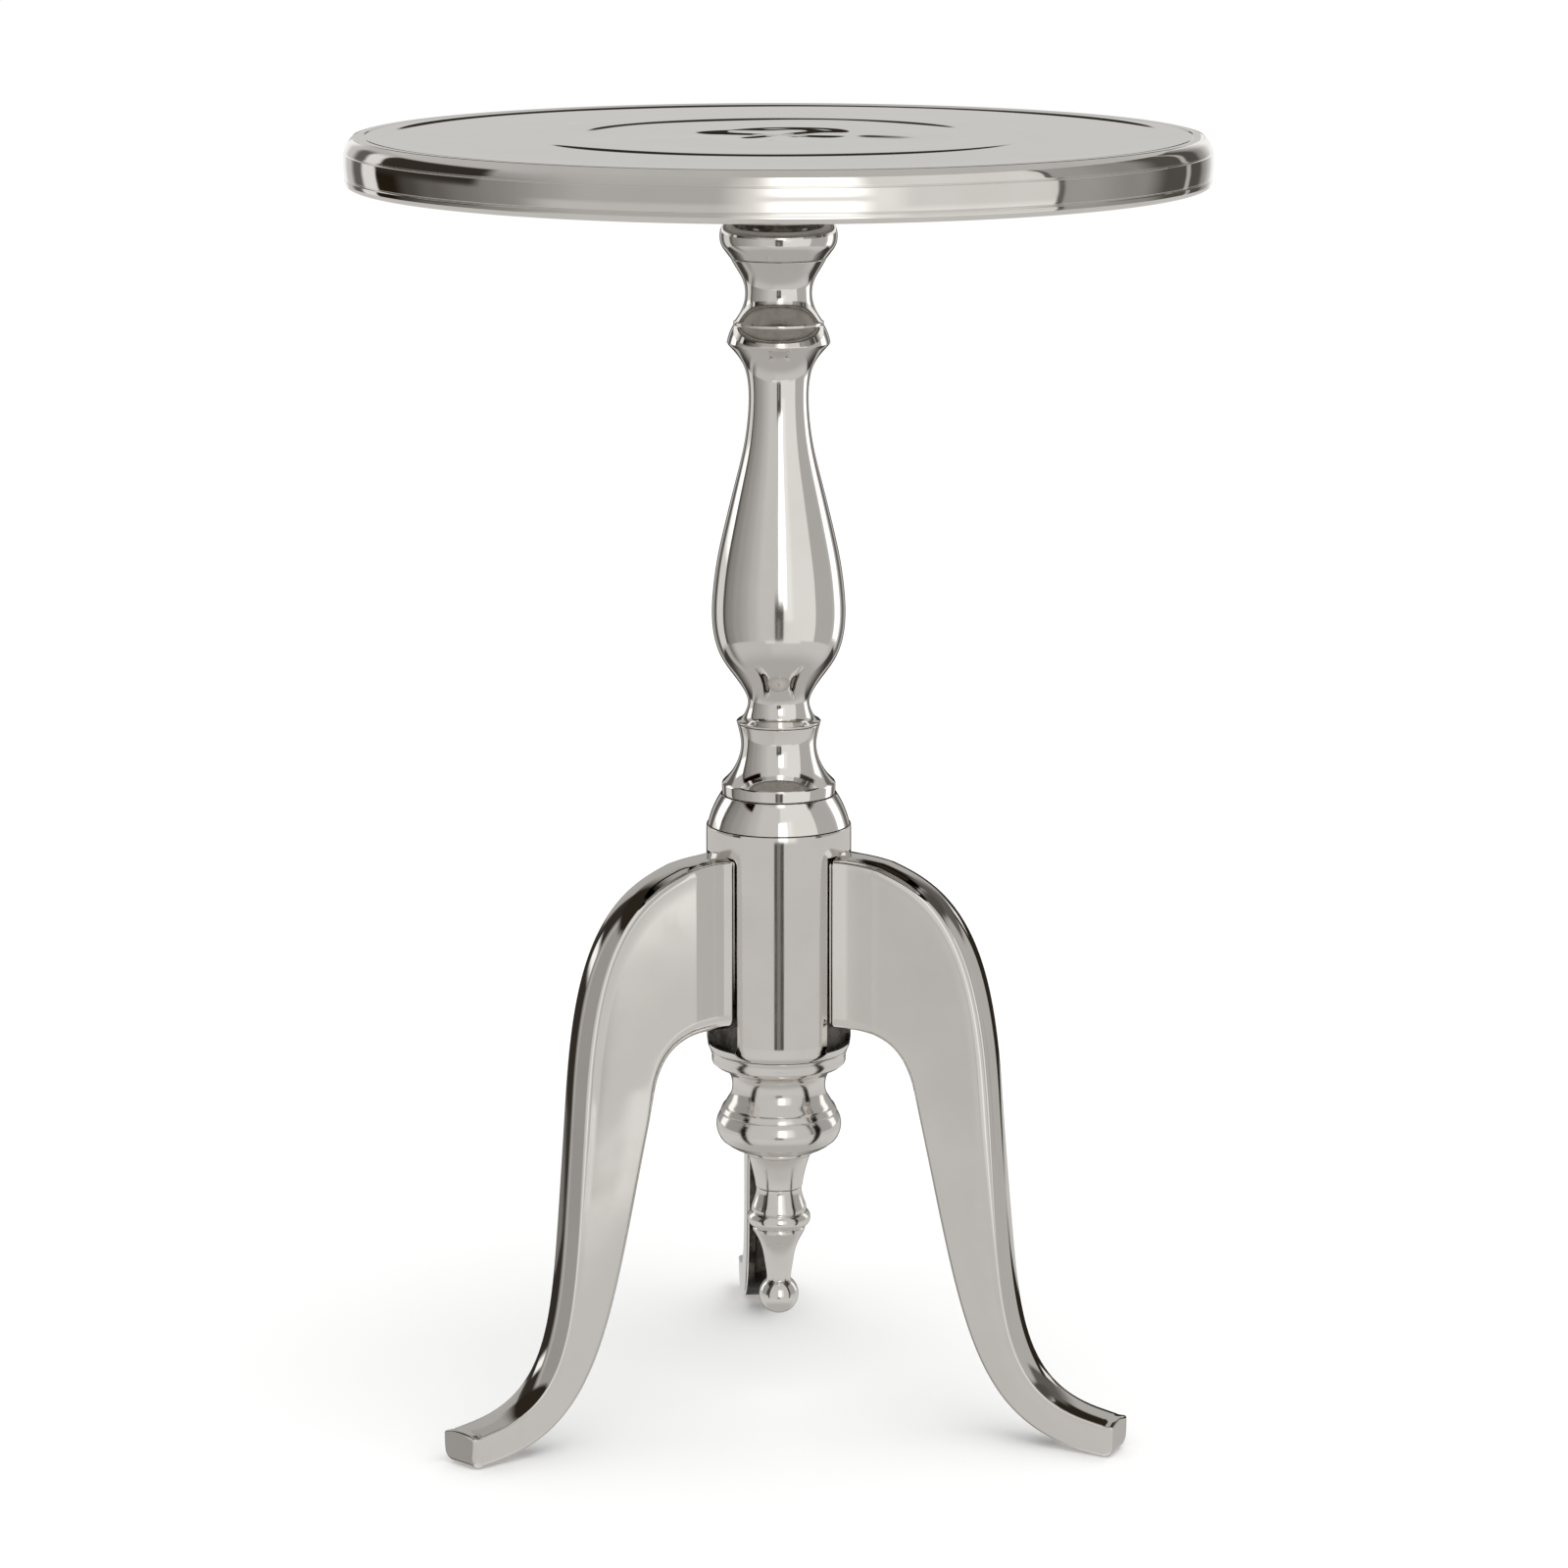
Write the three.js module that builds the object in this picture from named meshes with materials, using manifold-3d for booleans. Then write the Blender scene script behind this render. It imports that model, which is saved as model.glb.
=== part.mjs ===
// Cast and polished metal pedestal side table: a round tray on a turned column, with three curved legs
// bolted to a hub, all clamped together by one tie rod that a finial covers.
// Millimetres, +Z up. The origin is on the floor, on the column's axis. The rear leg points along +Y.

import * as THREE from 'three';
import { mergeVertices } from 'three/addons/utils/BufferGeometryUtils.js';
import Module from 'manifold-3d';

const wasm = await Module();
wasm.setup();

// ---------------------------------------------------------------- driving dimensions

const CLEARANCE = 0.3;          // left between every two pieces that touch
const CAST_WALL = 4.5;
const END_WEB = 5;
const SPIGOT = 4;               // height of the ring that centres each column piece in the next

const TRAY_SIDES = 60;
const COLUMN_SIDES = 24;
const HUB_SIDES = 48;
const SMALL_SIDES = 12;
const CURVE_STEPS = 14;

const TABLE_HEIGHT = 610.8;
const TRAY_RADIUS = 200;
const SKIRT_DEPTH = 23;
const TRAY_WALL = 3.5;
const TRAY_FILLET = 6;          // inside corner between the top and the skirt
const PAD_RADIUS = 66;          // thick middle of the tray that the flange screws bite into
const PAD_DEPTH = 8;
const TRAY_SEAT = TABLE_HEIGHT - PAD_DEPTH;

const FLANGE_RADIUS = 60;
const FLANGE_THICKNESS = 6;
const FLANGE_EDGE = 1.5;
const FLANGE_BOSS_RADIUS = 24;
const FLANGE_FILLET = 6;
const FLANGE_SCREW_CIRCLE = 46;
const FLANGE_SCREW_COUNT = 4;
const SCREW_RADIUS = 2.5;
const SCREW_HEAD_RADIUS = 4.6;
const SCREW_HEAD_HEIGHT = 3.2;
const SCREW_BITE = 5.5;

const ROD_RADIUS = 4;
const ROD_BORE = 4.6;
const ROD_BOTTOM = 84;
const ROD_TIP_GAP = 2;          // left above the rod, and below it in the finial
const NUT_FLATS = 13;
const NUT_HEIGHT = 6.5;
const NUT_POCKET_RADIUS = 8.6;
const NUT_POCKET_DEPTH = 10;
const WASHER_RADIUS = 8;
const WASHER_THICKNESS = 1.6;

// Heights of the joints between the column's pieces, and the radii of the spigots that centre them.
const CAPITAL_TOP = 574;
const NECK_SEAM = 553.3;
const COLLAR_SEAM = 334;
const DOME_SEAM = 300.4;
const HUB_TOP = 285.8;
const HUB_BOTTOM = 176;
const FINIAL_SEAM = 107;
const FLANGE_SPIGOT = 12;
const CAPITAL_SPIGOT = 12;
const BALUSTER_SPIGOT = 11;
const COLLAR_SPIGOT = 16;

const HUB_RADIUS = 34.4;
const HUB_BORE = 20;
const SLOT_FLOOR = 30;          // distance from the axis to the flat that a leg's root sits on
const SLOT_TOP = 274.2;
const SLOT_BOTTOM = 179.5;
const SLOT_CORNER = 4;

const BALL_RADIUS = 9.5;
const BALL_CENTRE = 52.9;
const BALL_STEPS = 7;
const BALL_NECK_ANGLE = 0.79 * Math.PI;

const LEG_COUNT = 3;
const LEG_WIDTH = 21;
const LEG_BEVEL = 2;
const LEG_WALL = 4.5;
const ROOT_WIDTH = 25;
const ROOT_TOP = 273.4;
const ROOT_UNDER = 191.4;
const ROOT_FLARE = 8;           // how far the flare at the root runs out along the leg
const KNEE_OUTSIDE = [114.2, 160];
const KNEE_INSIDE = [75.4, 164.5];
const FOOT_REACH = 182;
const FOOT_TIP_HEIGHT = 15.5;
const FOOT_FLAT_START = 166.5;
const FOOT_CORNER = 5.5;        // rounding of the foot's lower end
const CHANNEL_TOP = 168;
const CHANNEL_BOTTOM = 34;

const BOLT_RADIUS = 4;
const BOLT_GRIP = 30;
const BOLT_HEAD_HEIGHT = 5.3;
const BOLT_HEIGHTS = [252, 214];
const BORE_CROWN = 2.1;         // how far a washer stays in from the round bore that its corners meet

// ---------------------------------------------------------------- materials

const metal = (color, roughness) => new THREE.MeshStandardMaterial({ color, roughness, metalness: 1 });
const trayMetal = metal(0xd2cfc9, 0.08);
const columnMetal = metal(0xcfccc6, 0.1);
const legMetal = metal(0xcac6bf, 0.14);
const roughCasting = metal(0x8f8b84, 0.55);
const zincSteel = metal(0x9fa1a3, 0.35);

// ---------------------------------------------------------------- solids

// Shared vertices are merged, and the triangles that a point on the axis folds flat are dropped.
function welded(geometry) {
  const bare = geometry.clone();
  bare.deleteAttribute('normal');
  bare.deleteAttribute('uv');
  const merged = mergeVertices(bare, 1e-4);
  const corners = merged.index.array;
  const kept = [];
  for (let i = 0; i < corners.length; i += 3) {
    const [a, b, c] = [corners[i], corners[i + 1], corners[i + 2]];
    if (a !== b && b !== c && c !== a) kept.push(a, b, c);
  }
  merged.setIndex(kept);
  return merged;
}

function solidOf(geometry) {
  const closed = welded(geometry);
  const vertProperties = new Float32Array(closed.attributes.position.array);
  const triVerts = new Uint32Array(closed.index.array);
  return new wasm.Manifold(new wasm.Mesh({ numProp: 3, vertProperties, triVerts }));
}

function geometryOf(solid) {
  const mesh = solid.getMesh();
  const geometry = new THREE.BufferGeometry();
  geometry.setAttribute('position', new THREE.BufferAttribute(new Float32Array(mesh.vertProperties), 3));
  geometry.setIndex(new THREE.BufferAttribute(new Uint32Array(mesh.triVerts), 1));
  geometry.computeVertexNormals();
  return geometry;
}

const cut = (geometry, ...tools) =>
  geometryOf(tools.reduce((solid, tool) => solid.subtract(solidOf(tool)), solidOf(geometry)));

const join = (geometry, ...more) =>
  geometryOf(more.reduce((solid, other) => solid.add(solidOf(other)), solidOf(geometry)));

// ---------------------------------------------------------------- turned pieces

// A smooth run of a profile through [radius, height] points.
function sweep(points, samplesPerSpan = 2) {
  const spline = new THREE.SplineCurve(points.map(([r, z]) => new THREE.Vector2(r, z)));
  return spline.getPoints((points.length - 1) * samplesPerSpan).map((p) => [p.x, p.y]);
}

// A closed profile, outer side rising and inner side falling, turned about the Z axis.
function turn(profile, sides = COLUMN_SIDES) {
  const points = profile.map(([r, z]) => new THREE.Vector2(r, z));
  if (profile[0][0] > 0) points.push(points[0].clone());
  return welded(new THREE.LatheGeometry(points, sides).rotateX(Math.PI / 2));
}

const recessFor = (spigot) => spigot + CLEARANCE;

// A hollow casting. Its cavity follows the outside at the casting wall and opens through the rod bore at
// both ends. The top end has a recess for the spigot of the piece above, and the bottom end has a spigot.
function hollowCasting(outside, { spigotAbove, spigot, keep }) {
  const bottom = outside[0][1];
  const top = outside[outside.length - 1][1];
  const recess = recessFor(spigotAbove);
  const recessFloor = top - SPIGOT - CLEARANCE;
  const cavityFloor = bottom + END_WEB;
  const cavityRoof = recessFloor - END_WEB;
  const cavity = outside
    .filter(([, z], i) => i % keep === 0 && z > cavityFloor && z < cavityRoof)
    .map(([r, z]) => [Math.max(ROD_BORE + 1, r - CAST_WALL), z]);
  const lowest = cavity[0];
  const highest = cavity[cavity.length - 1];
  return turn([
    ...outside,
    [recess, top],
    [recess, recessFloor],
    [ROD_BORE, recessFloor],
    [ROD_BORE, cavityRoof],
    [highest[0], cavityRoof],
    ...cavity.reverse(),
    [lowest[0], cavityFloor],
    [ROD_BORE, cavityFloor],
    [ROD_BORE, bottom - SPIGOT],
    [spigot, bottom - SPIGOT],
    [spigot, bottom],
  ]);
}

const rod = (radius, bottom, top, sides = SMALL_SIDES) =>
  new THREE.CylinderGeometry(radius, radius, top - bottom, sides)
    .rotateX(Math.PI / 2)
    .translate(0, 0, (top + bottom) / 2);

const hexagon = (flats, bottom, top) => rod(flats / Math.sqrt(3), bottom, top, 6);

const washer = (bore, radius, bottom, top) =>
  turn([[bore, bottom], [radius, bottom], [radius, top], [bore, top]], SMALL_SIDES);

// A piece drawn upright along Z is laid over to point outwards along X.
const laidOutwards = (geometry) => geometry.rotateY(Math.PI / 2);

// ---------------------------------------------------------------- tray and its fixings

const onCircle = (geometry, radius, angle) => geometry.translate(radius, 0, 0).rotateZ(angle);

const aroundFlange = (make) => Array.from({ length: FLANGE_SCREW_COUNT }, (_, i) =>
  make(((i + 0.5) * 2 * Math.PI) / FLANGE_SCREW_COUNT));

const flangeScrewHoles = (bottom, top) => aroundFlange((angle) =>
  onCircle(rod(SCREW_RADIUS + CLEARANCE, bottom, top), FLANGE_SCREW_CIRCLE, angle));

// A spun disc with a rolled rim, open underneath.
function makeTray() {
  const underside = TABLE_HEIGHT - TRAY_WALL;
  const rim = TABLE_HEIGHT - SKIRT_DEPTH;
  const inner = TRAY_RADIUS - TRAY_WALL;
  const lip = sweep([
    [TRAY_RADIUS - 4.2, rim], [TRAY_RADIUS - 1.6, rim + 0.5], [TRAY_RADIUS - 0.3, rim + 2.6],
    [TRAY_RADIUS, rim + 4.8],
  ]);
  const shoulder = sweep([
    [TRAY_RADIUS, TABLE_HEIGHT - 7], [TRAY_RADIUS - 1.3, TABLE_HEIGHT - 4.2],
    [TRAY_RADIUS - 3.2, TABLE_HEIGHT - 1.6], [TRAY_RADIUS - 4.8, TABLE_HEIGHT],
  ]);
  const blank = turn([
    [0, TRAY_SEAT],
    [PAD_RADIUS, TRAY_SEAT],
    [PAD_RADIUS + 4, underside],
    [inner - TRAY_FILLET, underside],
    [inner, underside - TRAY_FILLET],
    [inner, rim + 4],
    [inner - 1, rim + 2.4],
    ...lip,
    ...shoulder,
    [0, TABLE_HEIGHT],
  ], TRAY_SIDES);
  return cut(blank, ...flangeScrewHoles(TRAY_SEAT - 1, TRAY_SEAT + SCREW_BITE + CLEARANCE));
}

// The flange screws up under the tray, and its boss is tapped for the tie rod.
function makeFlange() {
  const top = TRAY_SEAT - CLEARANCE;
  const plate = top - FLANGE_THICKNESS;
  const blank = turn([
    [FLANGE_BOSS_RADIUS, CAPITAL_TOP + CLEARANCE],
    [FLANGE_BOSS_RADIUS, plate - FLANGE_FILLET],
    [FLANGE_BOSS_RADIUS + 0.3 * FLANGE_FILLET, plate - 0.3 * FLANGE_FILLET],
    [FLANGE_BOSS_RADIUS + FLANGE_FILLET, plate],
    [FLANGE_RADIUS - FLANGE_EDGE, plate],
    [FLANGE_RADIUS, plate + FLANGE_EDGE],
    [FLANGE_RADIUS, top],
    [ROD_RADIUS + CLEARANCE, top],
    [ROD_RADIUS + CLEARANCE, CAPITAL_TOP - SPIGOT],
    [FLANGE_SPIGOT, CAPITAL_TOP - SPIGOT],
    [FLANGE_SPIGOT, CAPITAL_TOP + CLEARANCE],
  ]);
  return cut(blank, ...flangeScrewHoles(plate - 1, top + 1));
}

// Round-headed machine screw, head down.
function makeFlangeScrew(angle) {
  const seat = TRAY_SEAT - FLANGE_THICKNESS - 2 * CLEARANCE;
  const screw = turn([
    [0, seat - SCREW_HEAD_HEIGHT],
    [0.7 * SCREW_HEAD_RADIUS, seat - 0.85 * SCREW_HEAD_HEIGHT],
    [SCREW_HEAD_RADIUS, seat - 0.3 * SCREW_HEAD_HEIGHT],
    [SCREW_HEAD_RADIUS, seat],
    [SCREW_RADIUS, seat],
    [SCREW_RADIUS, TRAY_SEAT + SCREW_BITE],
    [0, TRAY_SEAT + SCREW_BITE],
  ], SMALL_SIDES);
  return onCircle(screw, FLANGE_SCREW_CIRCLE, angle);
}

// ---------------------------------------------------------------- column, from the top down

function makeCapital() {
  const side = sweep([
    [22.5, NECK_SEAM + CLEARANCE], [24.6, 556.4], [26.7, 559.8], [27.3, 563.4], [26.6, 567.6], [24.6, 570.6],
  ]);
  return hollowCasting([...side, [23.6, CAPITAL_TOP]], {
    spigotAbove: FLANGE_SPIGOT, spigot: CAPITAL_SPIGOT, keep: 4,
  });
}

// A long vase between a ridge at its foot and a ring and a waisted neck at its top.
function makeBaluster() {
  const ridge = sweep([[19.9, COLLAR_SEAM + CLEARANCE], [18.2, 336.2], [15.6, 339.8], [14.7, 342.2]], 1);
  const vase = sweep([
    [14.5, 343.6], [17, 351.1], [22.2, 358.6], [27.1, 366.1], [30.3, 375.5], [31.4, 387], [30.8, 398],
    [28.7, 413], [25.5, 427.7], [20, 449.9], [16.3, 465.5], [14.5, 478], [13.95, 487], [14.6, 497.5],
    [16.2, 503.3], [19.5, 508.7], [23, 512.8],
  ], 1);
  const ring = sweep([[24, 514.4], [23.3, 517.4], [21.7, 521], [20.8, 522.9]], 1);
  const neck = sweep([
    [20.6, 523.5], [17.6, 528.7], [16, 533], [15.5, 537], [16.1, 541.6], [17.6, 545.3], [19.7, 548.8],
    [22.3, NECK_SEAM],
  ]);
  return hollowCasting([...ridge, ...vase, ...ring, ...neck], {
    spigotAbove: CAPITAL_SPIGOT, spigot: BALUSTER_SPIGOT, keep: 3,
  });
}

function makeCollar() {
  const flare = sweep([
    [26.4, 306.4], [23.1, 309.7], [20.2, 314.3], [18.3, 319.6], [17.8, 324.6], [18.4, 329],
    [19.7, COLLAR_SEAM],
  ]);
  return hollowCasting([[26.8, DOME_SEAM + CLEARANCE], [26.8, 305.6], ...flare], {
    spigotAbove: BALUSTER_SPIGOT, spigot: COLLAR_SPIGOT, keep: 3,
  });
}

// The dome is a solid cap with a bore. Its spigot drops into the hub.
function makeDome() {
  const side = sweep([
    [33.6, HUB_TOP + CLEARANCE], [32.3, 290.5], [30.7, 294.5], [28.8, 298.2], [27.4, DOME_SEAM],
  ]);
  const recessFloor = DOME_SEAM - SPIGOT - CLEARANCE;
  return turn([
    ...side,
    [recessFor(COLLAR_SPIGOT), DOME_SEAM],
    [recessFor(COLLAR_SPIGOT), recessFloor],
    [ROD_BORE, recessFloor],
    [ROD_BORE, HUB_TOP - SPIGOT],
    [HUB_BORE - CLEARANCE, HUB_TOP - SPIGOT],
    [HUB_BORE - CLEARANCE, HUB_TOP + CLEARANCE],
  ]);
}

const legAngle = (i) => Math.PI / 2 + (i * 2 * Math.PI) / LEG_COUNT;

// A leg's slot in the hub, open at the hub's face, with round lower corners.
function legSlot() {
  const half = ROOT_WIDTH / 2 + CLEARANCE;
  const cornerHeight = SLOT_BOTTOM + SLOT_CORNER;
  const face = new THREE.Shape();
  face.moveTo(-half, SLOT_TOP);
  face.lineTo(-half, cornerHeight);
  face.absarc(SLOT_CORNER - half, cornerHeight, SLOT_CORNER, Math.PI, 1.5 * Math.PI);
  face.absarc(half - SLOT_CORNER, cornerHeight, SLOT_CORNER, 1.5 * Math.PI, 2 * Math.PI);
  face.lineTo(half, SLOT_TOP);
  return new THREE.ExtrudeGeometry(face, { depth: HUB_RADIUS, bevelEnabled: false, curveSegments: 4 })
    .rotateX(Math.PI / 2)
    .rotateZ(Math.PI / 2)
    .translate(SLOT_FLOOR, 0, 0);
}

// A tube with one flat-floored vertical slot for each leg, and bolt holes from its bore into the slots.
function makeHub() {
  const blank = turn([
    [HUB_RADIUS - 1.4, HUB_BOTTOM],
    [HUB_RADIUS - 0.5, HUB_BOTTOM + 2],
    [HUB_RADIUS, HUB_BOTTOM + 6],
    [HUB_RADIUS, HUB_TOP - 5],
    [HUB_RADIUS - 0.2, HUB_TOP - 2.4],
    [HUB_RADIUS - 0.8, HUB_TOP],
    [HUB_BORE, HUB_TOP],
    [HUB_BORE, HUB_BOTTOM],
  ], HUB_SIDES);
  const boltHole = (z) =>
    laidOutwards(rod(BOLT_RADIUS + CLEARANCE, HUB_BORE - 4, SLOT_FLOOR + 1)).translate(0, 0, z);
  const tools = [];
  for (let i = 0; i < LEG_COUNT; i += 1) {
    tools.push(legSlot().rotateZ(legAngle(i)));
    BOLT_HEIGHTS.forEach((z) => tools.push(boltHole(z).rotateZ(legAngle(i))));
  }
  return cut(blank, ...tools);
}

// The boss closes the hub from below: a rim, a waist, a bulb between two fillets and a skirt. A pocket in its
// lower end holds the washer and nut of the tie rod.
function makeBoss() {
  const skirt = sweep([
    [11.2, FINIAL_SEAM + CLEARANCE], [12, 110.5], [13.7, 116.2], [16.1, 120.6], [18.6, 123.2], [22.3, 125.2],
    [24.7, 127],
  ], 1);
  const bulb = sweep([
    [25.7, 128.4], [27.2, 131], [29.2, 134.3], [29.9, 138.4], [29.3, 141.6], [28.1, 144.3],
  ], 1);
  const waist = sweep([
    [26.7, 147.6], [24.8, 150.3], [22.9, 153.6], [22.3, 157], [22.7, 161], [24, 164], [26, 166],
  ], 1);
  const rim = [[30, 168], [31.9, 169.4], [32.1, 173.4], [32.9, HUB_BOTTOM - CLEARANCE]];
  const pocketRoof = FINIAL_SEAM + CLEARANCE + NUT_POCKET_DEPTH;
  const cavityRoof = HUB_BOTTOM - 8;
  const throat = 17.2;
  const cavity = [[throat, cavityRoof - 2], [throat, 157], [23.4, 138.8], [throat, pocketRoof + 12]];
  return turn([
    ...skirt,
    ...bulb,
    ...waist,
    ...rim,
    [HUB_BORE - CLEARANCE, HUB_BOTTOM - CLEARANCE],
    [HUB_BORE - CLEARANCE, HUB_BOTTOM + SPIGOT],
    [ROD_BORE, HUB_BOTTOM + SPIGOT],
    [ROD_BORE, cavityRoof],
    ...cavity,
    [ROD_BORE, pocketRoof + 9],
    [ROD_BORE, pocketRoof],
    [NUT_POCKET_RADIUS, pocketRoof],
    [NUT_POCKET_RADIUS, FINIAL_SEAM + CLEARANCE],
  ]);
}

// The finial screws onto the lower end of the tie rod.
function makeFinial() {
  const ball = Array.from({ length: BALL_STEPS + 1 }, (_, i) => {
    const angle = (BALL_NECK_ANGLE * i) / BALL_STEPS;
    return [i === 0 ? 0 : BALL_RADIUS * Math.sin(angle), BALL_CENTRE - BALL_RADIUS * Math.cos(angle)];
  });
  const stem = sweep([[5.9, 62.5], [6.5, 67.6], [7.6, 73.8], [9.6, 79.7], [12.2, 84], [13.2, 86.4]], 1);
  const bead = sweep([
    [14.2, 88.8], [15.3, 92.3], [14.7, 96], [12.9, 100.4], [11.4, 104], [11, FINIAL_SEAM],
  ], 1);
  return turn([
    ...ball,
    ...stem,
    [13.4, 88],
    ...bead,
    [ROD_RADIUS + CLEARANCE, FINIAL_SEAM],
    [ROD_RADIUS + CLEARANCE, ROD_BOTTOM - CLEARANCE],
    [0, ROD_BOTTOM - CLEARANCE - ROD_TIP_GAP],
  ]);
}

// ---------------------------------------------------------------- tie rod

const NUT_POCKET_CEILING = FINIAL_SEAM + NUT_POCKET_DEPTH;

const makeTieRod = () => rod(ROD_RADIUS, ROD_BOTTOM, TRAY_SEAT - CLEARANCE - ROD_TIP_GAP);

const makeRodWasher = () =>
  washer(ROD_RADIUS + CLEARANCE, WASHER_RADIUS, NUT_POCKET_CEILING - WASHER_THICKNESS, NUT_POCKET_CEILING);

function makeRodNut() {
  const top = NUT_POCKET_CEILING - WASHER_THICKNESS - CLEARANCE;
  const bottom = top - NUT_HEIGHT;
  return cut(hexagon(NUT_FLATS, bottom, top), rod(ROD_RADIUS + CLEARANCE, bottom - 1, top + 1));
}

// ---------------------------------------------------------------- legs

// The leg's side view, radius along X and height along Y: shoulder and shin outside, calf and arch inside.
const SHOULDER_BENDS = [94.5, 273.6, 109.5, 234];
const SHIN_BENDS = [122.7, 51.5, 119.5, 16.8];
const CALF_BENDS = [102.6, 7, 101.3, 58.9];
const ARCH_BENDS = [68.5, 192.2, 52.2, ROOT_UNDER];

function legOutline() {
  const outline = new THREE.Shape();
  outline.moveTo(SLOT_FLOOR + CLEARANCE, ROOT_TOP);
  outline.lineTo(HUB_RADIUS, ROOT_TOP);
  outline.bezierCurveTo(...SHOULDER_BENDS, ...KNEE_OUTSIDE);
  outline.bezierCurveTo(...SHIN_BENDS, FOOT_REACH, FOOT_TIP_HEIGHT);
  outline.lineTo(FOOT_REACH, FOOT_CORNER);
  outline.absarc(FOOT_REACH - FOOT_CORNER, FOOT_CORNER, FOOT_CORNER, 0, -Math.PI / 2, true);
  outline.lineTo(FOOT_FLAT_START, 0);
  outline.bezierCurveTo(...CALF_BENDS, ...KNEE_INSIDE);
  outline.bezierCurveTo(...ARCH_BENDS, SLOT_FLOOR + CLEARANCE, ROOT_UNDER);
  return outline;
}

// The hollow in the leg's inner side. It follows the outer side at the casting wall.
function channelOutline() {
  const ends = [KNEE_OUTSIDE, SHIN_BENDS.slice(0, 2), SHIN_BENDS.slice(2), [FOOT_REACH, FOOT_TIP_HEIGHT]];
  const shin = new THREE.CubicBezierCurve(...ends.map(([r, z]) => new THREE.Vector2(r, z)));
  const floor = shin.getPoints(CURVE_STEPS)
    .filter((p) => p.y > CHANNEL_BOTTOM)
    .map((p) => new THREE.Vector2(p.x - LEG_WALL - 1, p.y));
  const lowest = floor[floor.length - 1];
  const mouth = KNEE_INSIDE[0] - 15;
  return new THREE.Shape([
    new THREE.Vector2(floor[0].x - 1, CHANNEL_TOP),
    ...floor,
    new THREE.Vector2(lowest.x - 40, lowest.y - 14),
    new THREE.Vector2(mouth, CHANNEL_TOP - 10),
    new THREE.Vector2(mouth, CHANNEL_TOP),
  ]);
}

// A flat outline in X and Y is given its width, centred on Y = 0, and stood up with its height along Z.
function slab(outline, width, bevel = 0) {
  const geometry = new THREE.ExtrudeGeometry(outline, {
    depth: width - 2 * bevel,
    bevelEnabled: bevel > 0,
    bevelSize: bevel,
    bevelThickness: bevel,
    bevelOffset: -bevel,
    bevelSegments: 1,
    curveSegments: CURVE_STEPS,
  });
  return geometry.translate(0, 0, bevel - width / 2).rotateX(Math.PI / 2);
}

// The block that fills the slot in the hub, with a hollow flare on each side where it meets the leg.
function rootBlock() {
  const start = SLOT_FLOOR + CLEARANCE;
  const end = HUB_RADIUS + ROOT_FLARE;
  const root = ROOT_WIDTH / 2;
  const leg = LEG_WIDTH / 2;
  const plan = new THREE.Shape();
  plan.moveTo(start, -root);
  plan.lineTo(HUB_RADIUS - 1, -root);
  plan.quadraticCurveTo(HUB_RADIUS + 1.5, -leg, end, -leg + CLEARANCE);
  plan.lineTo(end, leg - CLEARANCE);
  plan.quadraticCurveTo(HUB_RADIUS + 1.5, leg, HUB_RADIUS - 1, root);
  plan.lineTo(start, root);
  const height = ROOT_TOP - ROOT_UNDER;
  return new THREE.ExtrudeGeometry(plan, { depth: height, bevelEnabled: false, curveSegments: 4 })
    .translate(0, 0, ROOT_UNDER);
}

const WASHER_SEAT = HUB_BORE - BORE_CROWN;
const BOLT_SEAT = WASHER_SEAT - WASHER_THICKNESS - CLEARANCE;
const BOLT_END = BOLT_SEAT + BOLT_GRIP;

function makeLeg() {
  const body = join(slab(legOutline(), LEG_WIDTH, LEG_BEVEL), rootBlock());
  const channel = slab(channelOutline(), LEG_WIDTH - 2 * LEG_WALL);
  const boltHole = (z) =>
    laidOutwards(rod(BOLT_RADIUS + CLEARANCE, SLOT_FLOOR - 2, BOLT_END + 1)).translate(0, 0, z);
  return cut(body, channel, ...BOLT_HEIGHTS.map(boltHole));
}

// Hexagon bolt that runs outwards from inside the hub into the leg's root.
function makeLegBolt(z) {
  const shank = rod(BOLT_RADIUS, BOLT_SEAT - 1, BOLT_END);
  const head = hexagon(NUT_FLATS, BOLT_SEAT - BOLT_HEAD_HEIGHT, BOLT_SEAT);
  return laidOutwards(join(shank, head)).translate(0, 0, z);
}

const makeLegWasher = (z) =>
  laidOutwards(washer(BOLT_RADIUS + CLEARANCE, WASHER_RADIUS, WASHER_SEAT - WASHER_THICKNESS, WASHER_SEAT))
    .translate(0, 0, z);

// ---------------------------------------------------------------- assembly

const table = new THREE.Group();

function add(name, geometry, material, angle = 0) {
  const mesh = new THREE.Mesh(geometry, material);
  mesh.name = name;
  mesh.rotation.z = angle;
  table.add(mesh);
}

add('tray_top', makeTray(), trayMetal);
add('tray_flange', makeFlange(), roughCasting);
aroundFlange(makeFlangeScrew).forEach((screw, i) => add(`flange_screw_${i + 1}`, screw, zincSteel));
add('capital', makeCapital(), columnMetal);
add('baluster', makeBaluster(), columnMetal);
add('lower_collar', makeCollar(), columnMetal);
add('dome_cap', makeDome(), columnMetal);
add('hub', makeHub(), columnMetal);
add('hub_boss', makeBoss(), columnMetal);
add('finial', makeFinial(), columnMetal);
add('tie_rod', makeTieRod(), zincSteel);
add('rod_washer', makeRodWasher(), zincSteel);
add('rod_nut', makeRodNut(), zincSteel);

['rear', 'left', 'right'].forEach((side, i) => {
  const angle = legAngle(i);
  add(`leg_${side}`, makeLeg(), legMetal, angle);
  ['upper', 'lower'].forEach((row, k) => {
    add(`leg_bolt_${side}_${row}`, makeLegBolt(BOLT_HEIGHTS[k]), zincSteel, angle);
    add(`leg_washer_${side}_${row}`, makeLegWasher(BOLT_HEIGHTS[k]), zincSteel, angle);
  });
});

export default table;
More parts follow.
